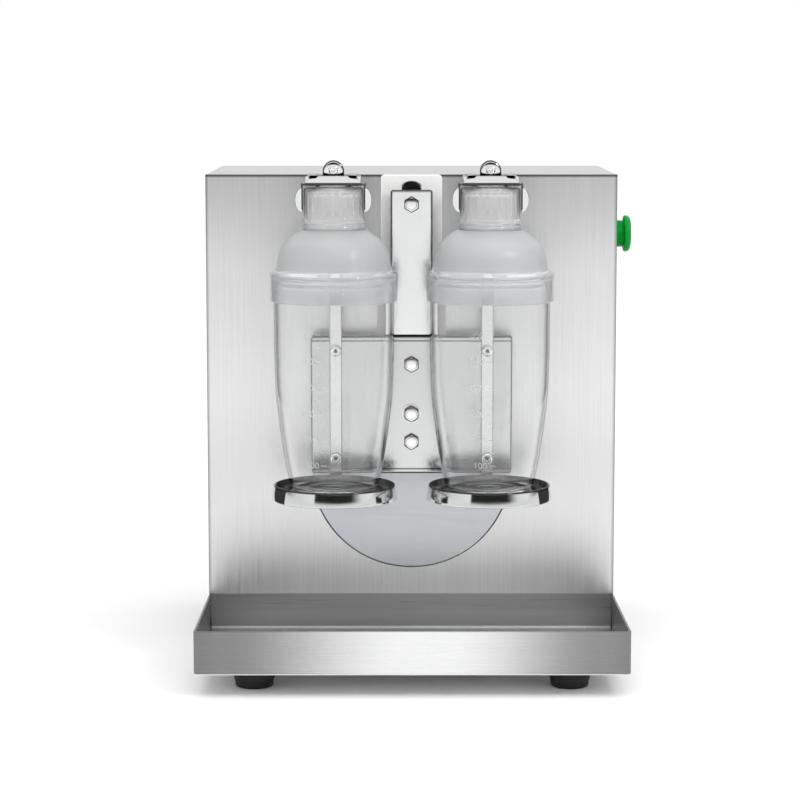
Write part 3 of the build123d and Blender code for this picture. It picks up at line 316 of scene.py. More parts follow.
def hex_head(across, out, up, flats, height, dome=0.35):
    """Hexagon head: radius flats / 2 / cos u, where u runs -30 to 30 degrees on each side.

    The top falls as a cone of 30 degrees outside the flats' circle and bulges slightly
    inside it.
    """
    t = np.linspace(0, 2 * math.pi, 96, endpoint=False)
    u = (t + math.pi / 6) % (math.pi / 3) - math.pi / 6
    outline = flats / 2 / np.cos(u)
    share = np.concatenate([[1, 1], np.linspace(0.985, 0.12, 12)])[:, None]
    radius = share * outline[None]
    seat = flats / 2 * 0.96
    top = height - (radius - seat).clip(0) * math.tan(math.radians(30))
    top = top - dome * (radius.clip(None, seat) / seat) ** 2
    top[0] = 0
    ring = np.stack([across + radius * np.cos(t), out + top, up + radius * np.sin(t)], -1)
    edge = np.zeros(len(share))
    # painted dark reflection: a line round the hexagon's outline and a ring on its top
    edge[:8] = 1, 1, 1, 0.9, 0.2, 0, 0.8, 0.1
    return skin(place(ring), edge=edge)


def button_head(radius, height, socket=0.0):
    """Profile of a domed screw head with a round driver recess."""
    dome = arc((radius - height * 0.75, height * 0.25), height * 0.75, 0, 78, 8)
    profile = np.vstack([[[radius - 0.2, 0.0]], dome])
    if socket:
        recess = [[socket, height], [socket - 0.3, height - 0.3], [socket - 0.4, height * 0.45]]
        profile = np.vstack([profile, recess])
    return profile


# ======================================================================================
# Pieces
# ======================================================================================
ROUND_CREASE = 50


def new_object(name, data):
    """An object with its data, linked to the scene."""
    item = bpy.data.objects.new(name, data)
    bpy.context.scene.collection.objects.link(item)
    return item


def make_piece(name, skins, look, body, nodes, crease=38):
    """Joins skins into one mesh, gives it the named finish and sets it on its body.

    Its material slot has the finish's name too.  Faces that meet
    at less than `crease` degrees are shaded as one, and a piece with a crease under
    ROUND_CREASE has flat faces, whose shading is evened.
    """
    points = np.vstack([s[0] for s in skins])
    starts = np.cumsum([0] + [len(s[0]) for s in skins[:-1]])
    quads = np.vstack([s[1] + k for s, k in zip(skins, starts)])
    fans = np.vstack([s[2] + k for s, k in zip(skins, starts)])
    mesh = bpy.data.meshes.new(name)
    mesh.from_pydata(points.tolist(), [], quads.tolist() + fans.tolist())
    mesh.update()
    # edge: weight of the painted dark reflection on bends, 1 on a bend and 0 on a plain face
    edge = mesh.attributes.new("edge", "FLOAT", "POINT")
    edge.data.foreach_set("value", np.concatenate([s[3] for s in skins]))
    mesh.shade_smooth()
    mesh.set_sharp_from_angle(angle=math.radians(crease))
    mesh.materials.append(finishes[look])
    piece = new_object(name, mesh)
    if crease < ROUND_CREASE:
        normals = piece.modifiers.new("Even shading", "WEIGHTED_NORMAL")
        normals.keep_sharp = True
    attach(piece, body)
    if nodes:
        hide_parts(*nodes)
    return piece


def dress(look, *nodes):
    """Gives carried-over CAD nodes the named finish."""
    for name in nodes:
        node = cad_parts[name]
        if not node.material_slots:
            node.data.materials.append(finishes[look])
        for slot in node.material_slots:
            slot.material = finishes[look]


# ======================================================================================
# Finishes
# ======================================================================================
finishes = {}
GRAIN_DEPTH = 0.00005


def new_node(tree, kind, inputs=(), **settings):
    """A shader node with its settings and input values."""
    node = tree.nodes.new(kind)
    for key, value in settings.items():
        setattr(node, key, value)
    for key, value in dict(inputs).items():
        node.inputs[key].default_value = value
    return node


def ramp(tree, source, stops, smooth=True):
    """Colour ramp driven by source, with (position, colour) stops."""
    node = tree.nodes.new("ShaderNodeValToRGB")
    node.color_ramp.interpolation = "EASE" if smooth else "LINEAR"
    elements = node.color_ramp.elements
    while len(elements) < len(stops):
        elements.new(0.5)
    for element, (position, colour) in zip(elements, stops):
        element.position = position
        element.color = (*colour, 1.0)
    tree.links.new(source, node.inputs["Fac"])
    return node.outputs["Color"]


def grey_stops(*stops):
    """Ramp stops in neutral tones from (position, value) pairs."""
    return tuple((position, (value,) * 3) for position, value in stops)


def remap(tree, source, low, high, to_low, to_high):
    """Source from low..high to to_low..to_high, held at the ends."""
    node = new_node(tree, "ShaderNodeMapRange", {1: low, 2: high, 3: to_low, 4: to_high})
    tree.links.new(source, node.inputs[0])
    return node.outputs[0]


def noise(tree, stretch, detail=3.0):
    """Noise in metres of the object's own space, with its own scale on each axis."""
    where = tree.nodes.new("ShaderNodeTexCoord")
    scale = new_node(tree, "ShaderNodeMapping", {"Scale": stretch})
    tree.links.new(where.outputs["Object"], scale.inputs["Vector"])
    node = new_node(tree, "ShaderNodeTexNoise",
                    {"Scale": 1.0, "Detail": detail, "Roughness": 0.55})
    tree.links.new(scale.outputs["Vector"], node.inputs["Vector"])
    return node.outputs["Fac"]


def along_axis(tree, axis):
    """The object's own coordinate along an axis, in metres."""
    where = tree.nodes.new("ShaderNodeTexCoord")
    split = tree.nodes.new("ShaderNodeSeparateXYZ")
    tree.links.new(where.outputs["Object"], split.inputs[0])
    return split.outputs["XYZ".index(axis)]


def times(tree, first, second):
    """Two colours multiplied."""
    node = tree.nodes.new("ShaderNodeMix")
    node.data_type = "RGBA"
    node.blend_type = "MULTIPLY"
    node.inputs[0].default_value = 1.0
    tree.links.new(first, node.inputs[6])
    tree.links.new(second, node.inputs[7])
    return node.outputs[2]


def blend_colours(tree, share, first, second):
    """First to second by share; each colour is a socket or a plain colour."""
    node = tree.nodes.new("ShaderNodeMix")
    node.data_type = "RGBA"
    tree.links.new(share, node.inputs[0])
    for socket, colour in ((node.inputs[6], first), (node.inputs[7], second)):
        if isinstance(colour, tuple):
            socket.default_value = (*colour, 1.0)
        else:
            tree.links.new(colour, socket)
    return node.outputs[2]


def finish(name, colour, roughness, metallic=0.0, grain=(300, 300, 300), spread=0.04,
           rough=0.06, bump=0.1, blotch=0.03, painted_shade=None, bend=1.0, **sockets):
    """Surface whose fine grain moves its colour, roughness and height.

    Grain is the noise's scale per metre, one number or one for each axis, so a small number
    along one axis draws it out into brush lines.  `painted_shade` is (axis, low, high, stops):
    painted shade, a tone that darkens the piece along one axis.  `bend` is the tone of the
    painted dark reflection on bends, where "edge" is 1.
    """
    if isinstance(grain, int):
        grain = (grain,) * 3
    material = bpy.data.materials.new(name)
    material.use_nodes = True
    tree = material.node_tree
    shader = tree.nodes["Principled BSDF"]
    fine = noise(tree, grain)
    broad = noise(tree, tuple(min(g, 18.0) for g in grain), 2.0)
    dark = tuple(c * (1 - spread) for c in colour)
    light = tuple(min(1.0, c * (1 + spread)) for c in colour)
    tone = ramp(tree, fine, ((0.3, dark), (0.7, light)))
    cloud = ramp(tree, broad, ((0.3, (1 - blotch,) * 3), (0.7, (1.0,) * 3)))
    tone = times(tree, tone, cloud)
    # painted shade: a darker tone along one axis of the piece
    if painted_shade:
        axis, low, high, stops = painted_shade
        position = remap(tree, along_axis(tree, axis), low, high, 0.0, 1.0)
        tone = times(tree, tone, ramp(tree, position, stops))
    # painted dark reflection on bends, where the mesh's edge value is 1
    if bend < 1.0:
        painted_bend_mask = new_node(tree, "ShaderNodeAttribute", attribute_name="edge")
        stops = grey_stops((0.0, 1.0), (0.35, 0.9), (0.75, bend), (1.0, bend))
        tone = times(tree, tone, ramp(tree, painted_bend_mask.outputs["Fac"], stops))
    tree.links.new(tone, shader.inputs["Base Color"])
    spread_rough = remap(tree, fine, 0.3, 0.7, max(0.0, roughness - rough), roughness + rough)
    tree.links.new(spread_rough, shader.inputs["Roughness"])
    relief = new_node(tree, "ShaderNodeBump", {"Strength": bump, "Distance": GRAIN_DEPTH})
    tree.links.new(fine, relief.inputs["Height"])
    tree.links.new(relief.outputs["Normal"], shader.inputs["Normal"])
    shader.inputs["Metallic"].default_value = metallic
    for key, value in sockets.items():
        shader.inputs[key.replace("_", " ")].default_value = value
    finishes[name] = material
    return material


# Name, colour, roughness, metallic, grain, spreads of tone and roughness, bump, and more.
PLAIN_FINISHES = (
    # bend in more: tone of the painted dark reflection on bends
    ("arm_steel", (0.86, 0.865, 0.87), 0.16, 1.0, 700, 0.02, 0.05, 0.12, {"bend": 0.12}),
    # box_steel is arm_steel painted darker: painted shade on the cross box
    ("box_steel", (0.64, 0.645, 0.65), 0.16, 1.0, 700, 0.02, 0.05, 0.12, {"bend": 0.12}),
    ("strap_steel", (0.86, 0.865, 0.87), 0.2, 1.0, 700, 0.02, 0.05, 0.12, {"bend": 0.5}),
    ("chrome", (0.86, 0.865, 0.87), 0.07, 1.0, 420, 0.01, 0.025, 0.03, {"bend": 0.1}),
    ("dish_chrome", (0.72, 0.725, 0.73), 0.07, 1.0, (60, 60, 1800), 0.015, 0.03, 0.05,
     {"bend": 0.08}),
    ("bright_bolt", (0.9, 0.905, 0.91), 0.12, 1.0, 700, 0.03, 0.05, 0.08, {"bend": 0.07}),
    ("zinc", (0.72, 0.74, 0.76), 0.3, 1.0, 500, 0.06, 0.08, 0.15, {"blotch": 0.08}),
    ("nylon", (0.86, 0.86, 0.85), 0.42, 0.0, 240, 0.015, 0.06, 0.08,
     {"Subsurface_Weight": 0.08, "Subsurface_Scale": 0.002}),
    ("roller_plastic", (0.05, 0.05, 0.055), 0.45, 0.0, 600, 0.1, 0.06, 0.2, {}),
    ("rubber", (0.012, 0.012, 0.013), 0.55, 0.0, 900, 0.25, 0.1, 0.35, {}),
    ("black_plastic", (0.02, 0.02, 0.022), 0.4, 0.0, 1100, 0.2, 0.08, 0.4, {}),
    ("clear_cup", (0.995, 0.997, 0.998), 0.02, 0.0, (90, 90, 30), 0.004, 0.012, 0.02,
     {"blotch": 0.002, "Transmission_Weight": 0.98, "IOR": 1.38}),
    ("mark_plastic", (0.93, 0.94, 0.95), 0.35, 0.0, 900, 0.02, 0.05, 0.1,
     {"Transmission_Weight": 0.6, "IOR": 1.3}),
    ("clear_cap", (0.998, 0.998, 0.998), 0.05, 0.0, (300, 300, 60), 0.01, 0.04, 0.05,
     {"blotch": 0.004, "Transmission_Weight": 0.8, "IOR": 1.5}),
    ("frosted_lid", (0.97, 0.978, 0.99), 0.4, 0.0, 900, 0.015, 0.05, 0.12,
     {"blotch": 0.02, "Transmission_Weight": 0.72, "IOR": 1.4}),
    ("frame_steel", (0.55, 0.56, 0.57), 0.4, 1.0, 200, 0.1, 0.08, 0.2, {}),
    ("motor_paint", (0.05, 0.055, 0.06), 0.45, 0.0, 700, 0.12, 0.08, 0.3, {}),
    ("steel_shaft", (0.7, 0.71, 0.72), 0.18, 1.0, (80, 2500, 80), 0.04, 0.05, 0.1, {}),
    ("pulley_metal", (0.6, 0.61, 0.62), 0.32, 1.0, (160, 2500, 160), 0.06, 0.06, 0.2, {}),
    ("belt_rubber", (0.02, 0.02, 0.02), 0.6, 0.0, (200, 2500, 200), 0.2, 0.1, 0.4, {}),
    ("cast_housing", (0.3, 0.31, 0.32), 0.55, 1.0, 800, 0.12, 0.08, 0.5, {}),
    ("capacitor_shell", (0.7, 0.7, 0.68), 0.4, 0.0, 300, 0.04, 0.06, 0.1, {}),
    ("board", (0.02, 0.16, 0.07), 0.4, 0.0, 1500, 0.3, 0.08, 0.2, {}),
    ("block_aluminium", (0.75, 0.76, 0.77), 0.35, 1.0, (60, 60, 1400), 0.05, 0.06, 0.2, {}),
    ("bush_bronze", (0.6, 0.4, 0.2), 0.3, 1.0, (300, 2000, 300), 0.08, 0.06, 0.2, {}),
    ("rod_steel", (0.78, 0.79, 0.8), 0.14, 1.0, (80, 80, 2500), 0.03, 0.04, 0.06, {}),
    ("spring_steel", (0.66, 0.67, 0.69), 0.2, 1.0, 1200, 0.06, 0.05, 0.1, {}),
    ("card_paint", (0.03, 0.03, 0.03), 0.9, 0.0, 9, 0.1, 0.05, 0.02, {}),
)


def make_finishes(s):
    """Every finish of the machine, kept in `finishes` by its name."""
    steel = tuple(s.steel_colour)
    low, high = (MM * level for level in span("front_panel", 2))
    bottom, top = (MM * level for level in span("cross_box", 2))
    left, right = panel_low[0], panel_high[0]
    # painted shade: the front panel darker towards its top, with a slight darker band low down
    finish("panel_steel", steel, 0.36, 1.0, (1500, 1500, 9), 0.045, 0.07, 0.16, blotch=0.02,
           painted_shade=("Z", low, high, grey_stops((0.0, 1.0), (0.15, 0.97), (0.3, 0.9),
                                             (0.5, 0.98), (0.75, 0.93), (1.0, 0.7))))
    # painted shade: the cabinet's steel darkened to 0.86 for the shell's top and sides
    finish("shell_steel", tuple(0.86 * part for part in steel), 0.36, 1.0, (1500, 9, 1500),
           0.04, 0.07, 0.16, blotch=0.02)
    # painted shade: the tray's upstand much darker than its floor, lightening a little upwards
    finish("tray_steel", steel, 0.33, 1.0, (9, 1500, 1500), 0.05, 0.07, 0.2,
           painted_shade=("Z", 0.02, 0.05, grey_stops((0.0, 1.0), (0.03, 1.0), (0.08, 0.36),
                                              (0.5, 0.46), (1.0, 0.57))))
    # painted shade: the tray's lip darker towards both ends, on steel darkened to 0.93
    finish("rim_steel", tuple(0.93 * part for part in steel), 0.3, 1.0, (9, 1500, 1500),
           0.05, 0.07, 0.2,
           painted_shade=("X", left, right, grey_stops((0.0, 0.26), (0.07, 0.3), (0.48, 1.0),
                                               (0.58, 1.0), (0.93, 0.32), (1.0, 0.28))))
    # painted shade: the crank disc darker towards its top
    finish("disc_steel", tuple(s.disc_colour), 0.34, 1.0, (26, 900, 1300), 0.03, 0.05, 0.12,
           painted_shade=("Z", 0.075, 0.25, grey_stops((0.0, 0.94), (0.4, 0.72), (1.0, 0.6))))
    finish("green_plastic", tuple(s.button_colour), 0.25, 0.0, 500, 0.03, 0.06, 0.06,
           blotch=0.05, Specular_IOR_Level=0.12)
    for name, *numbers, more in PLAIN_FINISHES:
        finish(name, *numbers, **more)
    # painted shade: dark lines at the panel's top edge and sides, darker sides on the shell, and
    # dark fold lines on the cross box
    painted_shade_and_tone_bands(finishes["panel_steel"], "Z", low, high,
               (0.0, 1.0), (0.9945, 1.0), (0.9965, 0.12), (1.0, 0.12))
    painted_shade_and_tone_bands(finishes["panel_steel"], "X", left, right, (0.0, 0.3), (0.0025, 0.3),
               (0.005, 1.0), (0.995, 1.0), (0.9975, 0.3), (1.0, 0.3))
    painted_shade_and_tone_bands(finishes["shell_steel"], "X", left, right, (0.0, 0.8), (0.003, 0.8),
               (0.005, 1.0), (0.995, 1.0), (0.997, 0.8), (1.0, 0.8))
    painted_shade_and_tone_bands(finishes["box_steel"], "Z", bottom, top, (0.0, 1.0), (0.028, 1.0),
               (0.031, 0.2), (0.038, 0.2), (0.041, 1.0), (0.957, 1.0), (0.961, 0.3),
               (0.968, 0.3), (0.972, 1.0))
    paint_rim_shade(finishes["clear_cup"], 0.04)
    paint_rim_shade(finishes["clear_cap"], 0.7)
    frost_only_the_dome(finishes["frosted_lid"])


def tone_over(material, tone):
    """Multiplies the material's colour by a tone."""
    tree = material.node_tree
    base = tree.nodes["Principled BSDF"].inputs["Base Color"]
    tree.links.new(times(tree, base.links[0].from_socket, tone), base)


def painted_shade_and_tone_bands(material, axis, low, high, *stops):
    """Straight bands of tone across the material between two heights of one axis, for
    painted shade lines at edges and folds, and for the frosted dome's own tone.
    """
    tree = material.node_tree
    position = remap(tree, along_axis(tree, axis), low, high, 0.0, 1.0)
    tone_over(material, ramp(tree, position, grey_stops(*stops), smooth=False))


def paint_rim_shade(material, tone):
    """Painted shade on clear plastic: it goes grey where the eye looks along its wall."""
    tree = material.node_tree
    facing = new_node(tree, "ShaderNodeLayerWeight", {"Blend": 0.35})
    rim = ramp(tree, facing.outputs["Facing"],
               grey_stops((0.0, 1.0), (0.45, 1.0), (0.6, 0.35 + tone * 0.65), (0.7, tone),
                          (1.0, tone)))
    tone_over(material, rim)


LID_SHOULDER = 0.334
LID_NECK = 0.374


def frost_only_the_dome(lid):
    """Leaves the collar and the neck nearly clear: the frost follows the height."""
    tree = lid.node_tree
    shader = tree.nodes["Principled BSDF"]
    height = remap(tree, along_axis(tree, "Z"), LID_SHOULDER, LID_NECK, 0.0, 1.0)
    for socket, collar, dome, neck in (("Roughness", 0.06, 0.33, 0.08),
                                       ("Transmission Weight", 0.82, 0.72, 0.85)):
        tone = ramp(tree, height, grey_stops((0.0, collar), (0.06, collar), (0.12, dome),
                                             (0.9, dome), (0.96, neck)), smooth=False)
        tree.links.new(tone, shader.inputs[socket])
    painted_shade_and_tone_bands(lid, "Z", LID_SHOULDER, LID_NECK,
               (0.0, 1.0), (0.06, 1.0), (0.12, 0.84), (0.9, 0.84), (0.96, 1.0))


# Brightness of the studio round the machine, as glossy surfaces and clear plastic see it.
# Positions 0 and 1 are behind the machine and 0.5 is in front of it.
REFLECTED_ROOM = ((0.0, 0.72), (0.05, 0.7), (0.08, 0.1), (0.21, 0.06), (0.3, 0.85),
                  (0.395, 1.0), (0.405, 0.02), (0.585, 0.02), (0.66, 0.95), (0.7, 1.0),
                  (0.78, 0.06), (0.92, 0.1), (0.95, 0.72))
REFRACTED_ROOM = ((0.0, 0.95), (0.07, 0.95), (0.14, 0.12), (0.3, 0.1), (0.4, 0.8),
                  (0.6, 0.8), (0.7, 0.1), (0.86, 0.12), (0.93, 0.95))


# ======================================================================================
# Shapes of the machine's pieces
# ======================================================================================
TRAY_SHEET = 1.2
TRAY_GAP = 0.3


def tray_walls(s):
    """Front lip and two side walls in one sheet, rounded at the top edge and the fold.

    The section is carried round the three sides.  Its upper points are drawn below a high
    crest and hang from the tray's top, which falls evenly from the front to the back.
    """
    low_x, high_x = span("base_pan", 0)
    out_high = span("base_pan", 1)[1]
    bottom, top_front = span("base_pan", 2)
    top_back = span("front_panel", 2)[0] - TRAY_GAP
    turn = rounded([[low_x, 0], [low_x, out_high], [high_x, out_high], [high_x, 0]],
                   s.tray_corner, 7, closed=False)
    path = np.vstack([turn[:1], np.linspace(turn[0], turn[1], 6)[1:], turn[2:8],
                      np.linspace(turn[7], turn[8], 10)[1:], turn[9:15], turn[-1:]])
    step = unit(np.gradient(path, axis=0))
    inward = np.stack([step[:, 1], -step[:, 0]], 1)
    hem = s.tray_hem
    crest = 1000.0
    section = rounded([[0, bottom], [0, crest], [hem, crest], [hem, crest - 8],
                       [TRAY_SHEET, crest - 10], [TRAY_SHEET, bottom]],
                      [2.2, 0.55, 0.55, 0.3, 0.3, 0.3], 5)
    top = top_back + (top_front - top_back) * path[:, 1] / out_high
    upper = section[:, 1] > crest / 2
    high = np.where(upper, top[:, None] - (crest - section[:, 1]), section[:, 1])
    line = path[:, None] + inward[:, None] * section[None, :, 0, None]
    return skin(place(np.stack([line[..., 0], line[..., 1], high], -1)))


def plate_between(across, out, up, radius, plane="top", corner=0.4):
    """Flat plate filling a box, with rounded edges on its two faces."""
    ranges = {"top": (across, out, up), "front": (across, up, out), "side": (out, up, across)}
    a, b, h = ranges[plane]
    outline = rectangle(a[1] - a[0], b[1] - b[0], corner,
                        ((a[0] + a[1]) / 2, (b[0] + b[1]) / 2))
    return slab(outline, block_levels(h[0], h[1], radius), plane)


def slot_plate(s):
    """Guide plate: an outer rounded rectangle and an inner arched slot, point for point.

    Both loops hold the same number of points, spaced by length from the middle of the
    bottom, and are joined by the plate's front and back.
    """
    across = span("guide_plate", 0)
    up = span("guide_plate", 2)
    out = span("guide_plate", 1)[1]
    middle = (up[0] + up[1]) / 2
    outer = rectangle(across[1] - across[0], up[1] - up[0], 3.0, (0, middle), 12)
    half = 8.2
    top = up[1] - 5.3
    bottom = up[0] + 11.0
    rise = s.slot_arch
    bow = (half**2 + rise**2) / (2 * rise)
    angle = math.degrees(math.asin(half / bow))
    crown = arc((0, top - bow), bow, 90 - angle, 90 + angle, 15)
    floor = arc((0, bottom + half), half, 180, 360, 15)
    inner = np.vstack([floor, crown])
    bend = quarter(out, 0.7)[:, :2]
    rings = [(outer, 0.0), *((outer - outward(outer) * inset, high) for inset, high in bend),
             *((inner + outward(inner) * inset, high) for inset, high in bend[::-1]),
             (inner, 0.0)]
    loops = [stacked(*evenly(ring).T, high, "front") for ring, high in rings]
    return skin(place(np.array(loops)), along=True)


def evenly(loop, count=240):
    """Closed loop resampled by length, starting where it crosses the middle at the bottom."""
    following = np.roll(loop, -1, 0)
    crossing = (loop[:, 0] <= 0) & (following[:, 0] > 0) & (loop[:, 1] < loop[:, 1].mean())
    k = int(np.argmax(crossing))
    share = -loop[k, 0] / (following[k, 0] - loop[k, 0])
    begin = loop[k] + (following[k] - loop[k]) * share
    loop = np.vstack([begin, np.roll(loop, -k - 1, 0), begin])
    length = np.concatenate([[0], np.cumsum(np.linalg.norm(np.diff(loop, axis=0), axis=1))])
    at = np.linspace(0, length[-1], count, endpoint=False)
    return np.stack([np.interp(at, length, loop[:, 0]), np.interp(at, length, loop[:, 1])], 1)


def cup_side():
    """Outside of a shaker cup from its foot up to its rim."""
    knots = [[35, 155.8], [36.6, 160], [39.6, 173], [42.3, 188], [45.4, 210], [48.3, 237],
             [49.5, 275]]
    return np.vstack([flowing(knots, 5), [[49.5, 300], [49.5, 327.4]]])


def cup_profile(wall):
    """Wall of a shaker cup from under its middle, up the outside, and down the inside."""
    side = cup_side()
    inner = side[::-1] - [wall, 0]
    inner = inner[inner[:, 1] > 159.5]
    rim = arc((49.5 - wall / 2, 329.0), wall / 2, 0, 180, 9)
    under = [[8, 156.4], [20, 156.4], [29, 156.2], [30.5, 155.2], [31.2, 155.0], [34.0, 155.0]]
    curl = flowing([inner[-1], [33.6, 158.6], [31.5, 157.3], [28.5, 157.6]], 4)[1:]
    floor = [[21.0, 158.2], [20.4, 158.6], [19.8, 158.2], [9.0, 158.4], [8.4, 158.8],
             [7.8, 158.4]]
    return np.vstack([under, side, rim, inner, curl, floor])


def dome_profile():
    """Wall of the lid: collar, rounded shoulder and neck, outside then inside."""
    outside = flowing([[47.4, 339.0], [46.4, 344.0], [45.3, 350.0], [42.8, 356.6],
                       [39.0, 361.6], [34.0, 366.0], [28.5, 369.6], [24.0, 371.6]], 5)
    neck = [[22.5, 373.4], [22.5, 380], [22.5, 396.8], [22.0, 397.8], [21.0, 397.8],
            [20.5, 396.8], [20.5, 380], [20.5, 372.4]]
    inside = flowing([[22.0, 370.0], [27.4, 367.6], [32.8, 364.2], [37.6, 360.2],
                      [41.0, 355.6], [43.3, 349.6], [44.4, 344.0], [45.0, 338.0]], 5)
    collar_in = [[45.0, 331.2], [45.6, 330.5], [49.4, 330.45], [49.9, 330.0], [49.9, 313.0],
                 [50.3, 312.2]]
    collar = [[51.6, 312.1], [52.1, 312.7], [52.2, 313.4], [52.3, 318], [52.5, 330],
              [52.65, 333.6], [52.4, 334.8], [51.6, 335.4], [49.4, 336.0], [48.0, 336.9]]
    return np.vstack([collar, outside, neck, inside, collar_in])


def cap_profile():
    """Wall of the small cap: two beads, ridged side, top and inside."""
    outside = [[22.9, 371.4], [23.3, 371.0], [25.5, 371.0], [26.0, 371.5], [26.0, 373.4],
               [25.6, 374.0], [25.0, 374.3], [25.0, 375.7], [25.6, 376.0], [26.0, 376.6],
               [26.0, 378.2], [25.6, 378.9], [24.8, 379.3], [24.5, 380.2], [24.5, 382],
               [24.5, 384], [24.5, 392], [24.5, 400], [24.5, 401.6], [24.3, 403.2], [23.7, 404.4],
               [22.6, 405.0], [18.0, 405.0], [17.2, 404.7], [6.0, 404.7]]
    inside = [[6.0, 403.3], [21.5, 403.3], [22.6, 402.6], [22.9, 401.4]]
    return np.array(outside), np.array(inside)


def ridges(count, depth, height, t):
    """Amount to take off the cap's radius between its upright ridges.

    It is depth (1 - exp(-(sin(count t / 2) / 0.3)^2)), faded in and out near its ends.
    """
    rise = np.clip((height - 381.0) / 2.0, 0, 1) * np.clip((402.6 - height) / 2.0, 0, 1)
    return rise * depth * (1 - np.exp(-(np.sin(count * t / 2) / 0.3) ** 2))


def dish_profile():
    """Pressed dish from its boss, up the wall and in over the floor, and the edge values
    that paint a dark reflection on its lip.
    """
    under = [[5.0, 147.5], [11.6, 147.5], [12.0, 147.9], [12.0, 152.2], [12.5, 152.7]]
    inner_foot = [[45.4, 152.7], [46.2, 152.3], [49.6, 148.0], [50.2, 147.5]]
    outer = [[51.4, 147.5], [52.0, 148.0], [52.0, 148.6], [50.3, 158.2], [50.15, 159.0],
             [49.9, 159.7], [49.3, 160.0], [48.6, 159.9], [48.1, 159.3]]
    floor = [[46.7, 155.6], [46.2, 155.0], [45.4, 154.7], [37.0, 154.7], [36.5, 154.75],
             [12.0, 154.7], [6.0, 154.7]]
    profile = np.array(under + inner_foot + outer + floor)
    edge = np.zeros(len(profile))
    edge[13:20] = 1
    return profile, edge


# ======================================================================================
# Settings
# ======================================================================================
def colour(name, description, default):
    """A colour in the settings."""
    return bpy.props.FloatVectorProperty(name=name, description=description, size=3, min=0,
                                         max=1, subtype="COLOR", default=default)


def amount(name, description, default, low, high, **unit_of):
    """A number in the settings, held between low and high."""
    return bpy.props.FloatProperty(name=name, description=description, default=default,
                                   min=low, max=high, **unit_of)


class ShakerSettings(bpy.types.PropertyGroup):
    """Sizes and colours that a user would change."""
    steel_colour: colour("Steel", "Colour of the cabinet's steel", (0.90, 0.902, 0.905))
    disc_colour: colour("Crank disc", "Colour of the crank disc", (0.80, 0.82, 0.86))
    button_colour: colour("Button", "Colour of the push button", (0.0, 0.27, 0.028))
    floor_colour: colour("Floor", "Colour of the studio floor", (0.87, 0.87, 0.87))
    floor_bounce: amount(
        "Floor bounce", "Share of light the floor gives to the machine", 0.78, 0.0, 1.0)
    tray_corner: amount(
        "Tray corner", "Bend radius of the tray's corners, in mm", 2.4, 0.6, 6.0)
    tray_hem: amount(
        "Tray hem", "Thickness of the tray's folded top edge, in mm", 2.2, 1.3, 4.0)
    slot_arch: amount(
        "Slot arch", "Rise of the guide slot's arched top, in mm", 2.9, 1.0, 8.0)
    fold_radius: amount(
        "Fold radius", "Outer bend radius of the arm's sheet, in mm", 2.0, 0.5, 2.2)
    cup_wall: amount("Cup wall", "Wall thickness of the shaker cups, in mm", 2.0, 1.0, 3.0)
    ridge_count: bpy.props.IntProperty(
        name="Cap ridges", description="Number of upright ridges round each small cap",
        default=24, min=8, max=60)
    light_power: amount(
        "Top light", "Strength of the soft light from above, in W/m2", 2.0, 0.1, 20.0)
    side_power: amount(
        "Side lights", "Power of the tall lights at the front", 14.0, 0.0, 500.0,
        subtype="POWER", unit="POWER")
    glow_power: amount(
        "High light", "Power of the small light high on the right", 6.0, 0.0, 500.0,
        subtype="POWER", unit="POWER")


def settings():
    """The scene's settings."""
    return bpy.context.scene.shaker


# ======================================================================================
# Operators
# ======================================================================================
class ShakerStage(bpy.types.Operator):
    """Camera, soft lights, pale floor and the finishes"""
    bl_idname = "shaker.stage"
    bl_label = "Stage"

    def execute(self, context):
        s = settings()
        scene = context.scene
        make_finishes(s)
        make_camera(scene)
        make_floor(s)
        make_lights(s)
        make_world(scene)
        return {"FINISHED"}


CAMERA_PLACE = (-0.01975, -2.2348, 0.496)
CAMERA_TILT = 82.87
CAMERA_TURN = -0.06
LENS = 117.0
SENSOR = 36.0
FLOOR_REACH = 30.0
OVER_SPREAD = 70
OVER_TILT = 12
CARD_SPAN = (0.06, 2.4)
CARD_HEIGHT = 0.55


def make_camera(scene):
    """Camera in front, a little above, with no shift and no depth of field."""
    data = bpy.data.cameras.new("camera")
    data.sensor_width = SENSOR
    data.lens = LENS
    camera = new_object("camera", data)
    camera.location = CAMERA_PLACE
    camera.rotation_euler = (math.radians(CAMERA_TILT), 0.0, math.radians(CAMERA_TURN))
    scene.camera = camera
    scene.view_settings.view_transform = "Standard"


def make_floor(s):
    """Flat pale floor; it gives less light to the machine than it shows directly."""
    mesh = bpy.data.meshes.new("floor")
    x = np.array([-1, 1, 1, -1]) * FLOOR_REACH
    y = np.array([-1, -1, 1, 1]) * FLOOR_REACH
    mesh.from_pydata(np.stack([x, y, 0 * x], 1).tolist(), [], [(0, 1, 2, 3)])
    paint = finish("floor_paint", tuple(s.floor_colour), 0.8, 0.0, 3, 0.006, 0.03, 0.02,
                   blotch=0.004, Specular_IOR_Level=0.1)
    tree = paint.node_tree
    shader = tree.nodes["Principled BSDF"]
    shown = shader.inputs["Base Color"].links[0].from_socket
    path = tree.nodes.new("ShaderNodeLightPath")
    tone = blend_colours(tree, path.outputs["Is Camera Ray"], (s.floor_bounce,) * 3, shown)
    tree.links.new(tone, shader.inputs["Base Color"])
    mesh.materials.append(paint)
    new_object("floor", mesh)


def soft_light(name, where, aim, width, height, power):
    """Rectangular soft light that faces the point `aim`."""
    data = bpy.data.lights.new(name, "AREA")
    data.shape = "RECTANGLE"
    data.size = width
    data.size_y = height
    data.energy = power
    light = new_object(name, data)
    light.location = where
    away = unit(np.array(where, float) - np.array(aim, float))
    turn = math.atan2(away[0], -away[1])
    light.rotation_euler = (math.acos(away[2]), 0.0, turn)
    light.visible_glossy = False
    light.visible_transmission = False
    return light


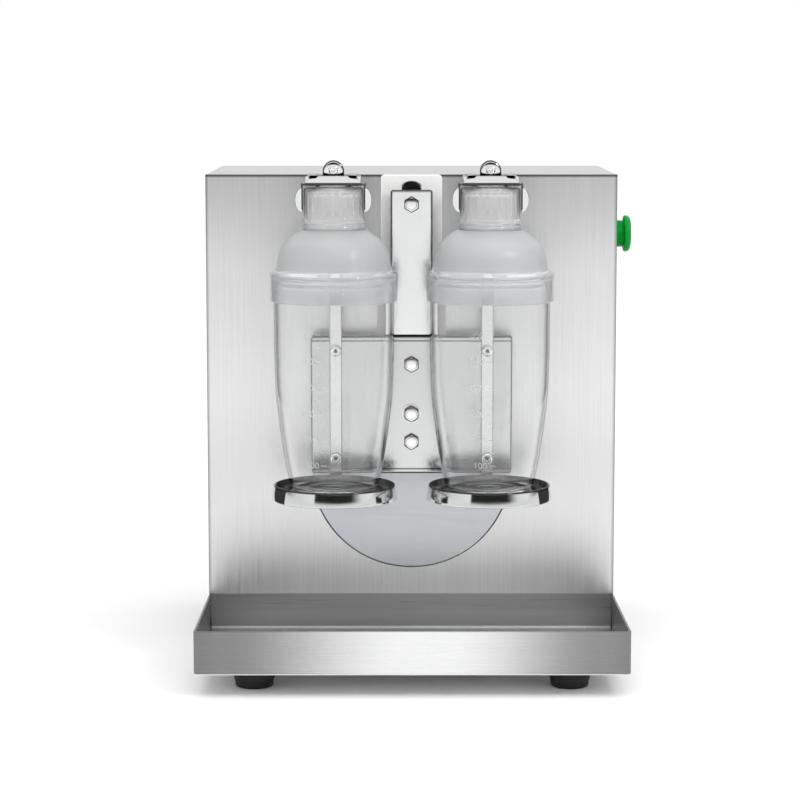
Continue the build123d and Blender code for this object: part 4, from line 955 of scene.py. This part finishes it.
def make_lights(s):
    """Soft light from above, dark cards beside, tall panels in front and a high light.

    Only the small high light shows in gloss.
    """
    data = bpy.data.lights.new("light_over", "SUN")
    data.energy = s.light_power
    data.angle = math.radians(OVER_SPREAD)
    over = new_object("light_over", data)
    over.rotation_euler = (math.radians(OVER_TILT), 0.0, 0.0)
    over.visible_glossy = False
    for side, hand in zip(SIDES, (-1, 1)):
        dark_card(side, hand)
    for side, hand, share in zip(SIDES, (-1, 1), (1.0, 0.8)):
        soft_light(f"light_{side}", (hand * 1.9, -1.7, 1.1), (0.0, 0.0, 0.2), 0.9, 1.6,
                   s.side_power * share)
    glow = soft_light("light_high", (0.96, -1.07, 1.21), (0.05, -0.2, 0.35), 0.24, 0.24,
                      s.glow_power)
    glow.visible_glossy = True


def dark_card(side, hand):
    """Dark card standing beside and behind the machine, seen only in polished metal."""
    mesh = bpy.data.meshes.new("dark_card")
    near, far = CARD_SPAN
    y = np.array([near, far, far, near])
    z = np.array([0.0, 0.0, 1.0, 1.0]) * CARD_HEIGHT
    mesh.from_pydata(np.stack([0 * y + hand, y, z], 1).tolist(), [], [(0, 1, 2, 3)])
    mesh.materials.append(finishes["card_paint"])
    card = new_object(f"dark_card_{side}", mesh)
    card.visible_camera = False
    card.visible_diffuse = False
    card.visible_transmission = False
    card.visible_shadow = False


def make_world(scene):
    """Studio room: white seen directly, with bright panels and dark gaps in reflections.

    The angle round the room is atan2(x, -y): 0 in front of the machine, positive to its
    right, and half a turn behind it, brought to 0..1 with the front at 0.5.
    """
    world = bpy.data.worlds.new("studio")
    scene.world = world
    world.use_nodes = True
    tree = world.node_tree
    where = tree.nodes.new("ShaderNodeTexCoord")
    split = tree.nodes.new("ShaderNodeSeparateXYZ")
    tree.links.new(where.outputs["Generated"], split.inputs[0])
    ahead = new_node(tree, "ShaderNodeMath", {1: -1.0}, operation="MULTIPLY")
    angle = new_node(tree, "ShaderNodeMath", operation="ARCTAN2")
    tree.links.new(split.outputs["Y"], ahead.inputs[0])
    tree.links.new(split.outputs["X"], angle.inputs[0])
    tree.links.new(ahead.outputs[0], angle.inputs[1])
    share = remap(tree, angle.outputs[0], -math.pi, math.pi, 0.0, 1.0)
    cards = ramp(tree, share, grey_stops(*REFLECTED_ROOM))
    level = ramp(tree, remap(tree, split.outputs["Z"], 0.0, 1.0, 0.0, 1.0),
                 grey_stops((0.0, 1.0), (0.03, 1.0), (0.09, 0.0), (0.25, 0.0), (0.32, 1.0)))
    room = blend_colours(tree, level, cards, (0.9,) * 3)
    seen_through = ramp(tree, share, grey_stops(*REFRACTED_ROOM))
    path = tree.nodes.new("ShaderNodeLightPath")
    light = blend_colours(tree, path.outputs["Is Diffuse Ray"], (1.0,) * 3, (0.6,) * 3)
    light = blend_colours(tree, path.outputs["Is Transmission Ray"], light, seen_through)
    light = blend_colours(tree, path.outputs["Is Glossy Ray"], light, room)
    background = tree.nodes["Background"]
    tree.links.new(light, background.inputs["Color"])
    background.inputs["Strength"].default_value = 1.0


class ShakerCabinet(bpy.types.Operator):
    """Panels, rear screws and the mains inlet"""
    bl_idname = "shaker.cabinet"
    bl_label = "Cabinet"

    def execute(self, context):
        dress("panel_steel", "front_panel", "rear_panel")
        dress("shell_steel", "body_shell")
        dress("black_plastic", "power_inlet", "button_switch")
        dress("zinc", "rear_screws", "inlet_screws", "foot_screws", "guide_screws")
        return {"FINISHED"}


class ShakerTray(bpy.types.Operator):
    """Tray with its hemmed walls, floor and upstand"""
    bl_idname = "shaker.tray"
    bl_label = "Tray"

    def execute(self, context):
        s = settings()
        across, out, up = (span("base_pan", k) for k in range(3))
        back_top = span("front_panel", 2)[0] - TRAY_GAP
        lap = TRAY_SHEET / 2
        inside = (across[0] + lap, across[1] - lap)
        floor = plate_between(inside, (out[0], out[1] - lap), (up[0], up[0] + TRAY_SHEET), 0.3)
        upstand = plate_between(inside, (-TRAY_SHEET, 0.0), (up[0] + lap, back_top), 0.3,
                                "front")
        make_piece("tray_rim", [tray_walls(s)], "rim_steel", "cabinet", ["base_pan"])
        make_piece("tray_floor", [floor, upstand], "tray_steel", "cabinet", ["base_pan"])
        return {"FINISHED"}


FOOT_RADIUS = 18.5


class ShakerFeet(bpy.types.Operator):
    """Four tapered rubber feet"""
    bl_idname = "shaker.feet"
    bl_label = "Feet"

    def execute(self, context):
        across, out, (_, top) = (span("rubber_feet", k) for k in range(3))
        profile = np.vstack([
            [[2.6, 9.0], [5.3, 9.0], [5.5, 8.8], [5.5, 0.5], [6.0, 0.0], [13.4, 0.0]],
            arc((13.4, 2.0), 2.0, -90, -8, 6),
            [[15.9, 4.0], [15.6, 4.5], [15.7, 5.0], [16.4, 6.0], [18.2, top - 1.6]],
            arc((17.3, top - 1.0), 1.0, 0, 90, 5), [[2.6, top]],
        ])
        feet = [turned(profile, (x, y, 0.0), sides=64, along=True)
                for x in (across[0] + FOOT_RADIUS, across[1] - FOOT_RADIUS)
                for y in (out[0] + FOOT_RADIUS, out[1] - FOOT_RADIUS)]
        make_piece("machine_feet", feet, "rubber", "cabinet", ["rubber_feet"])
        return {"FINISHED"}


class ShakerGuide(bpy.types.Operator):
    """White guide plate with its arched slot, and the roller"""
    bl_idname = "shaker.guide"
    bl_label = "Guide"

    def execute(self, context):
        make_piece("slot_guide", [slot_plate(settings())], "nylon", "cabinet", ["guide_plate"])
        dress("roller_plastic", "guide_roller")
        return {"FINISHED"}


HEX_FLATS = 12.0
HEX_CORNER = 6.93
HEX_HEIGHT = 5.3
SHANK = 3.9


class ShakerCrank(bpy.types.Operator):
    """Crank disc, pin and washer"""
    bl_idname = "shaker.crank"
    bl_label = "Crank"

    def execute(self, context):
        dress("disc_steel", "crank_disc")
        dress("steel_shaft", "crank_shaft")
        dress("pulley_metal", "drive_pulley", "motor_pulley")
        x, z = middle("pin_washer", 0), middle("pin_washer", 2)
        start, end = span("pin_washer", 1)
        washer = rounded([[6.7, start], [8.0, start], [8.0, end], [6.7, end]], 0.3, 4)
        root, head = span("crank_pin", 1)
        shank = [[6.5, root], [6.5, end]]
        make_piece("pin_ring", [turned(washer, (x, 0, z), "front", 72, along=True)],
                   "bright_bolt", "crank", ["pin_washer"])
        make_piece("pin_bolt", [hex_head(x, end, z, HEX_FLATS, head - end),
                                turned(shank, (x, 0, z), "front", 64)],
                   "bright_bolt", "crank", ["crank_pin"], 25)
        return {"FINISHED"}


class ShakerArm(bpy.types.Operator):
    """Folded channel and cross box, their bolts and the bearing block"""
    bl_idname = "shaker.arm"
    bl_label = "Arm"

    def execute(self, context):
        s = settings()
        for name, node, metal in (("upright_channel", "arm_channel", "arm_steel"),
                                  ("cross_beam", "cross_box", "box_steel")):
            across, out, up = (span(node, k) for k in range(3))
            foot = 2.05 if node == "arm_channel" else 2.3
            outline = rectangle(across[1] - across[0], up[1] - up[0],
                                (foot, foot, 2.3, 2.3), (sum(across) / 2, sum(up) / 2), 8)
            levels = tray_levels(out[0], out[1], 2.0, s.fold_radius)
            make_piece(name, [slab(outline, levels, "front")], metal, "shaking_arm", [node])
        front = span("cross_box", 1)[1]
        low, high = span("arm_bolts", 2)
        levels = (low + HEX_CORNER, high - HEX_CORNER)
        bolts = [hex_head(0, front, z, HEX_FLATS, HEX_HEIGHT) for z in levels]
        back = span("arm_bolts", 1)[0]
        bolts += [turned([[SHANK, back], [SHANK, front]], (0, 0, z), "front", 32) for z in levels]
        make_piece("beam_bolts", bolts, "bright_bolt", "shaking_arm", ["arm_bolts"], 25)
        across, low_high = span("strap_bolts", 0), span("strap_bolts", 2)
        seat, tip = span("strap_left", 1)[0] + 17.0, span("strap_bolts", 1)[1]
        # edge: painted dark reflection round the head's rim and round its recess
        heads = [turned(button_head(5.0, tip - seat, 1.7), (x, seat, z), "front", 56,
                        edge=[1, 1, 1, 0.5] + [0] * 6 + [1, 1])
                 for x in (across[0] + 5, across[1] - 5) for z in (low_high[0] + 5,
                                                                   low_high[1] - 5)]
        make_piece("strap_studs", heads, "bright_bolt", "shaking_arm", ["strap_bolts"], 50)
        z = middle("roller_bolt", 2)
        shank = [[SHANK, span("roller_bolt", 1)[0]], [SHANK, 14.9], [6.1, 15.0], [6.1, 24.0],
                 [SHANK, 24.1], [SHANK, front]]
        make_piece("roller_screw", [hex_head(0, front, z, HEX_FLATS, HEX_HEIGHT),
                                    turned(shank, (0, 0, z), "front", 48)],
                   "bright_bolt", "shaking_arm", ["roller_bolt"], 25)
        dress("block_aluminium", "bearing_block")
        dress("bush_bronze", "arm_bush")
        return {"FINISHED"}


STRAP_THICK = 3.0
STRAP_FACE = 27.5


class ShakerCarriers(bpy.types.Operator):
    """Bent straps, dishes and their screws"""
    bl_idname = "shaker.carriers"
    bl_label = "Cup carriers"

    def execute(self, context):
        section = strip_section(11.0, STRAP_THICK, 0.6)
        dish, lip_painted_shade = dish_profile()
        for side in SIDES:
            x, out = cup_axis(side)
            back, front = span(f"strap_{side}", 1)
            low, high = span(f"strap_{side}", 2)
            half = STRAP_THICK / 2
            bends = rounded([[front, low + half], [STRAP_FACE, low + half],
                             [STRAP_FACE, high - half], [back, high - half]],
                            [1, 4.0, 4.0, 1], 9, closed=False)
            make_piece(f"carrier_strap_{side}", [swept(bends, section, x)], "strap_steel",
                       "shaking_arm", [f"strap_{side}"])
            make_piece(f"cup_dish_{side}", [turned(dish, (x, out, 0), sides=160, edge=lip_painted_shade)],
                       "dish_chrome", "shaking_arm", [f"dish_{side}"], 50)
        dress("zinc", "dish_screws")
        return {"FINISHED"}


class ShakerCups(bpy.types.Operator):
    """Clear cups with their volume marks, frosted lids and ridged caps"""
    bl_idname = "shaker.cups"
    bl_label = "Cups"

    def execute(self, context):
        s = settings()
        for side in SIDES:
            x, out = cup_axis(side)
            body = f"cup_{side}"
            beaker = turned(cup_profile(s.cup_wall), (x, out, 0), sides=160)
            make_piece(f"beaker_{side}", [beaker], "clear_cup", body,
                       [f"shaker_cup_{side}"], 60)
            make_piece(f"volume_marks_{side}", volume_marks(side, x, out), "mark_plastic", body,
                       [], 60)
            lid = turned(dome_profile(), (x, out, 0), sides=160, along=True)
            make_piece(f"lid_{side}", [lid], "frosted_lid", body, [f"shaker_dome_{side}"], 60)
            outside, inside = cap_profile()
            wall = skin(cap_rings(outside, inside, x, out, 16 * s.ridge_count, s.ridge_count))
            make_piece(f"small_cap_{side}", [wall], "clear_cap", body, [f"shaker_cap_{side}"],
                       60)
        return {"FINISHED"}


LOWEST_MARK = 181.0
MARK_STEP = 21.5
LONG_TICK = ((13.0, 15.0, 17.5), 0.0, 0.5)
SHORT_TICK = ((14.5, 16.0, 17.5), 10.7, 0.4)
DIGIT_HEIGHT = 5.0
DIGIT_STEP = 3.9
MARK_TURN = {"left": -32.0, "right": -20.0}


def digit_paths():
    """Pen path of each digit in a box 0.62 wide and 1 tall, from arcs and straight lines."""
    bowl = arc((0.31, 0.69), 0.28, 165, -40, 13)
    return {
        "0": arc((0, 0), 1.0, 0, 360, 25) * [0.29, 0.47] + [0.31, 0.5],
        "1": np.array([[0.14, 0.78], [0.34, 0.97], [0.34, 0.03]]),
        "2": np.vstack([bowl, [[0.04, 0.03], [0.6, 0.03]]]),
        "3": np.vstack([arc((0.29, 0.74), 0.23, 150, -75, 11),
                        arc((0.29, 0.28), 0.26, 80, -150, 13)]),
        "5": np.vstack([[[0.55, 0.97], [0.12, 0.97], [0.09, 0.56]],
                        arc((0.29, 0.32), 0.29, 130, -145, 13)]),
    }


def stroke(path, wide, x, out, face, wall):
    """Raised line of width `wide` along a path of (u, v) on the cup's wall.

    A point goes to the angle face + u / R, the height v and the radius R + w, where R is
    the cup's radius at that height and w runs from under the surface to just above it.
    """
    path = np.asarray(path, float)
    along = np.gradient(path, axis=0)
    aside = np.stack([-along[:, 1], along[:, 0]], -1)
    aside /= np.linalg.norm(aside, axis=1, keepdims=True)
    section = np.array([[-1, -0.12], [1, -0.12], [0.7, 0.22], [-0.7, 0.22]])
    flat = path[:, None] + aside[:, None] * section[None, :, :1] * wide / 2
    radius = np.interp(flat[..., 1], wall[:, 1], wall[:, 0])
    angle = math.radians(face) + flat[..., 0] / radius
    radius = radius + section[None, :, 1]
    rings = [x + radius * np.sin(angle), out + radius * np.cos(angle), flat[..., 1]]
    return skin(place(np.stack(rings, -1)))


def volume_marks(side, x, out):
    """Raised numbers and ticks up the wall of one cup."""
    face = MARK_TURN[side]
    outer = cup_side()
    shapes = digit_paths()
    strokes = []
    for step in range(6):
        height = LOWEST_MARK + MARK_STEP * step
        for column, digit in enumerate(str(100 + 50 * step)):
            corner = [DIGIT_STEP * column, height - DIGIT_HEIGHT / 2]
            strokes.append(stroke(shapes[digit] * DIGIT_HEIGHT + corner, 0.55, x, out, face,
                                  outer))
        for across, rise, wide in LONG_TICK, SHORT_TICK:
            tick = np.stack([across, np.full(3, height + rise)], 1)
            strokes.append(stroke(tick, wide, x, out, face, outer))
    return strokes


def cap_rings(outside, inside, x, out, sides, count):
    """Cap as one run of rings: under the top, down the inside, round the skirt, up and over.

    The radius is the profile's, less the hollows between the ridges on the outside.
    """
    t = np.linspace(0, 2 * math.pi, sides, endpoint=False)[None]
    outer = outside[:, :1] - ridges(count, 0.8, outside[:, 1:], t)
    inner = inside[:, :1] + np.zeros_like(t)
    radius = np.vstack([inner, outer])
    height = np.vstack([inside[:, 1:], outside[:, 1:]]) + np.zeros_like(t)
    return place(np.stack([x + radius * np.cos(t), out + radius * np.sin(t), height], -1))


class ShakerClamps(bpy.types.Operator):
    """Clamp heads, levers, screws, rods and springs"""
    bl_idname = "shaker.clamps"
    bl_label = "Clamps"

    def execute(self, context):
        for side in SIDES:
            x, out = cup_axis(side)
            make_clamp(side, x, out)
        return {"FINISHED"}


CLAMP_SEAT = 415.0
EAR_REACH = 9.0
EAR_SHEET = (24.9, 26.4)
EAR_HEIGHTS = (385.0, 408.5)
LUG_RADIUS = 8.75
ROD_OUT = 19.0
SPRING_FOOT = 300.0
SPRING_TOP = 362.0
SPRING_WIRE = 0.7


def make_clamp(side, x, out):
    """One clamp: a saddle with ears, a bar with its lug, and a rod in its spring."""
    body = f"clamp_{side}"
    cover = rectangle(46.6, 44.0, 0.8, (x, out), 4)
    # third column: painted dark reflection on the saddle's rounded rim and slope
    levels = [[8.0, 407.0, 1], [0.25, 407.0, 1], [0.0, 407.3, 1], [0.05, 408.2, 1],
              [0.5, 408.9, 1], [1.1, 409.8, 0], [3.8, 414.1, 0], [4.2, 414.8, 0.8],
              [4.8, 415.0, 0.8], [5.6, 415.0, 0], [10.0, 415.0, 0]]
    pad = turned([[4, 405.3], [14.0, 405.3], [14.8, 405.7], [15, 406.3], [15, 408]],
                 (x, out, 0), sides=72)
    skins = [slab(cover, levels, "top"), pad]
    depth = (out - EAR_REACH, out + EAR_REACH)
    for hand in (-1, 1):
        ear = sorted(x + hand * reach for reach in EAR_SHEET)
        skins.append(plate_between(ear, depth, EAR_HEIGHTS, 0.4, "side", 2.0))
        bridge = sorted((x + hand * 18.0, x + hand * EAR_SHEET[1]))
        skins.append(plate_between(bridge, depth, (407.0, EAR_HEIGHTS[1]), 0.4, "top", 0.8))
        edge = x + hand * 25.6
        curve = arc((0, 0), 1.0, -90, 90, 21) * [hand * 5.6, 10.0] + [edge, 395.0]
        tab = np.vstack([curve, [[edge - hand * 0.6, 405.0], [edge - hand * 0.6, 385.0]]])
        skins.append(slab(tab, block_levels(depth[1] - 1.5, depth[1], 0.4), "front"))
    make_piece(f"saddle_{side}", skins, "chrome", body, [f"clamp_head_{side}"])
    bar_out = span(f"clamp_lever_{side}", 1)
    bar = plate_between((x - 6.5, x + 6.5), (bar_out[0], 90.0), (CLAMP_SEAT, 421.0),
                        0.8, "top", 2.0)
    arch = np.vstack([[[x - LUG_RADIUS, CLAMP_SEAT], [x + LUG_RADIUS, CLAMP_SEAT]],
                      arc((x, 418.25), LUG_RADIUS, 0, 180, 25)])
    lug = slab(arch, block_levels(82.0, bar_out[1], 1.8), "front")
    make_piece(f"bar_{side}", [bar, lug], "chrome", body, [f"clamp_lever_{side}"])
    head = turned(button_head(4.0, 2.6, 1.5), (x, bar_out[1], 419.5), "front", 48)
    make_piece(f"lug_screw_{side}", [head], "bright_bolt", body, [f"clamp_screw_{side}"],
               50)
    low, high = span(f"clamp_rod_{side}", 2)
    rod = [[1.8, low], [2.6, low + 0.2], [3.0, low + 0.8], [3.0, 295.9], [6.1, 296.0],
           [6.5, 296.4], [6.5, 299.6], [6.1, 300.0], [3.0, 300.1], [3.0, high - 0.8],
           [2.6, high - 0.2], [1.8, high]]
    make_piece(f"rod_{side}", [turned(rod, (x, ROD_OUT, 0), sides=48)], "rod_steel", body,
               [f"clamp_rod_{side}"])
    wire = coil((x, ROD_OUT), SPRING_FOOT + SPRING_WIRE, SPRING_TOP - SPRING_WIRE, 5.0,
                SPRING_WIRE, 11)
    spring = make_piece(f"spring_{side}", [wire], "spring_steel", "shaking_arm",
                        [f"clamp_spring_{side}"], 60)
    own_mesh(spring)


class ShakerButton(bpy.types.Operator):
    """Green mushroom button and its bright bezel"""
    bl_idname = "shaker.button"
    bl_label = "Button"

    def execute(self, context):
        low, high = span("button_cap", 0)
        out, z = middle("button_cap", 1), middle("button_cap", 2)
        face = high - 6.0
        profile = np.vstack([
            [[4.0, low], [11.3, low], [11.5, low + 0.3], [11.5, face - 0.9], [11.9, face - 0.2],
             [14.6, face]],
            arc((14.35, face + 1.4), 1.4, -80, 0, 6),
            arc((11.75, high - 4.0), 4.0, 5, 82, 9),
            [[8.0, high - 0.02], [3.0, high]],
        ])
        make_piece("push_button", [turned(profile, (0, out, z), "side", 96)], "green_plastic",
                   "button", ["button_cap"], 50)
        dress("chrome", "button_bezel")
        return {"FINISHED"}


class ShakerInside(bpy.types.Operator):
    """Finishes of the motor, frame, bearings and belt inside the cabinet"""
    bl_idname = "shaker.inside"
    bl_label = "Inside"

    def execute(self, context):
        dress("frame_steel", "inner_frame")
        dress("zinc", "frame_bolts", "motor_bolts", "housing_bolts")
        dress("motor_paint", "motor_body")
        dress("steel_shaft", "motor_shaft", "crank_bearings")
        dress("belt_rubber", "drive_belt")
        dress("cast_housing", "bearing_housing")
        dress("capacitor_shell", "start_capacitor")
        dress("board", "control_board")
        return {"FINISHED"}


class ShakerPanel(bpy.types.Panel):
    """Sidebar panel with the settings and a button for each group of pieces"""
    bl_idname = "VIEW3D_PT_shaker"
    bl_label = "Shaking machine"
    bl_space_type = "VIEW_3D"
    bl_region_type = "UI"
    bl_category = "Shaker"

    def draw(self, context):
        for name in ShakerSettings.__annotations__:
            self.layout.prop(context.scene.shaker, name)
        for operator in OPERATORS:
            self.layout.operator(operator.bl_idname)


OPERATORS = (ShakerStage, ShakerCabinet, ShakerTray, ShakerFeet, ShakerGuide, ShakerCrank,
             ShakerArm, ShakerCarriers, ShakerCups, ShakerClamps, ShakerButton, ShakerInside)
CLASSES = (ShakerSettings, *OPERATORS, ShakerPanel)


def register():
    """Registers the classes and the scene's settings."""
    for item in CLASSES:
        bpy.utils.register_class(item)
    bpy.types.Scene.shaker = bpy.props.PointerProperty(type=ShakerSettings)


def unregister():
    """Removes the settings and the classes."""
    del bpy.types.Scene.shaker
    for item in reversed(CLASSES):
        bpy.utils.unregister_class(item)


def main():
    """Builds everything in order."""
    register()
    bpy.ops.shaker.stage()
    bpy.ops.shaker.cabinet()
    bpy.ops.shaker.tray()
    bpy.ops.shaker.feet()
    bpy.ops.shaker.guide()
    bpy.ops.shaker.crank()
    bpy.ops.shaker.arm()
    bpy.ops.shaker.carriers()
    bpy.ops.shaker.cups()
    bpy.ops.shaker.clamps()
    bpy.ops.shaker.button()
    bpy.ops.shaker.inside()
    bpy.context.view_layer.update()


if __name__ == "__main__":
    main()
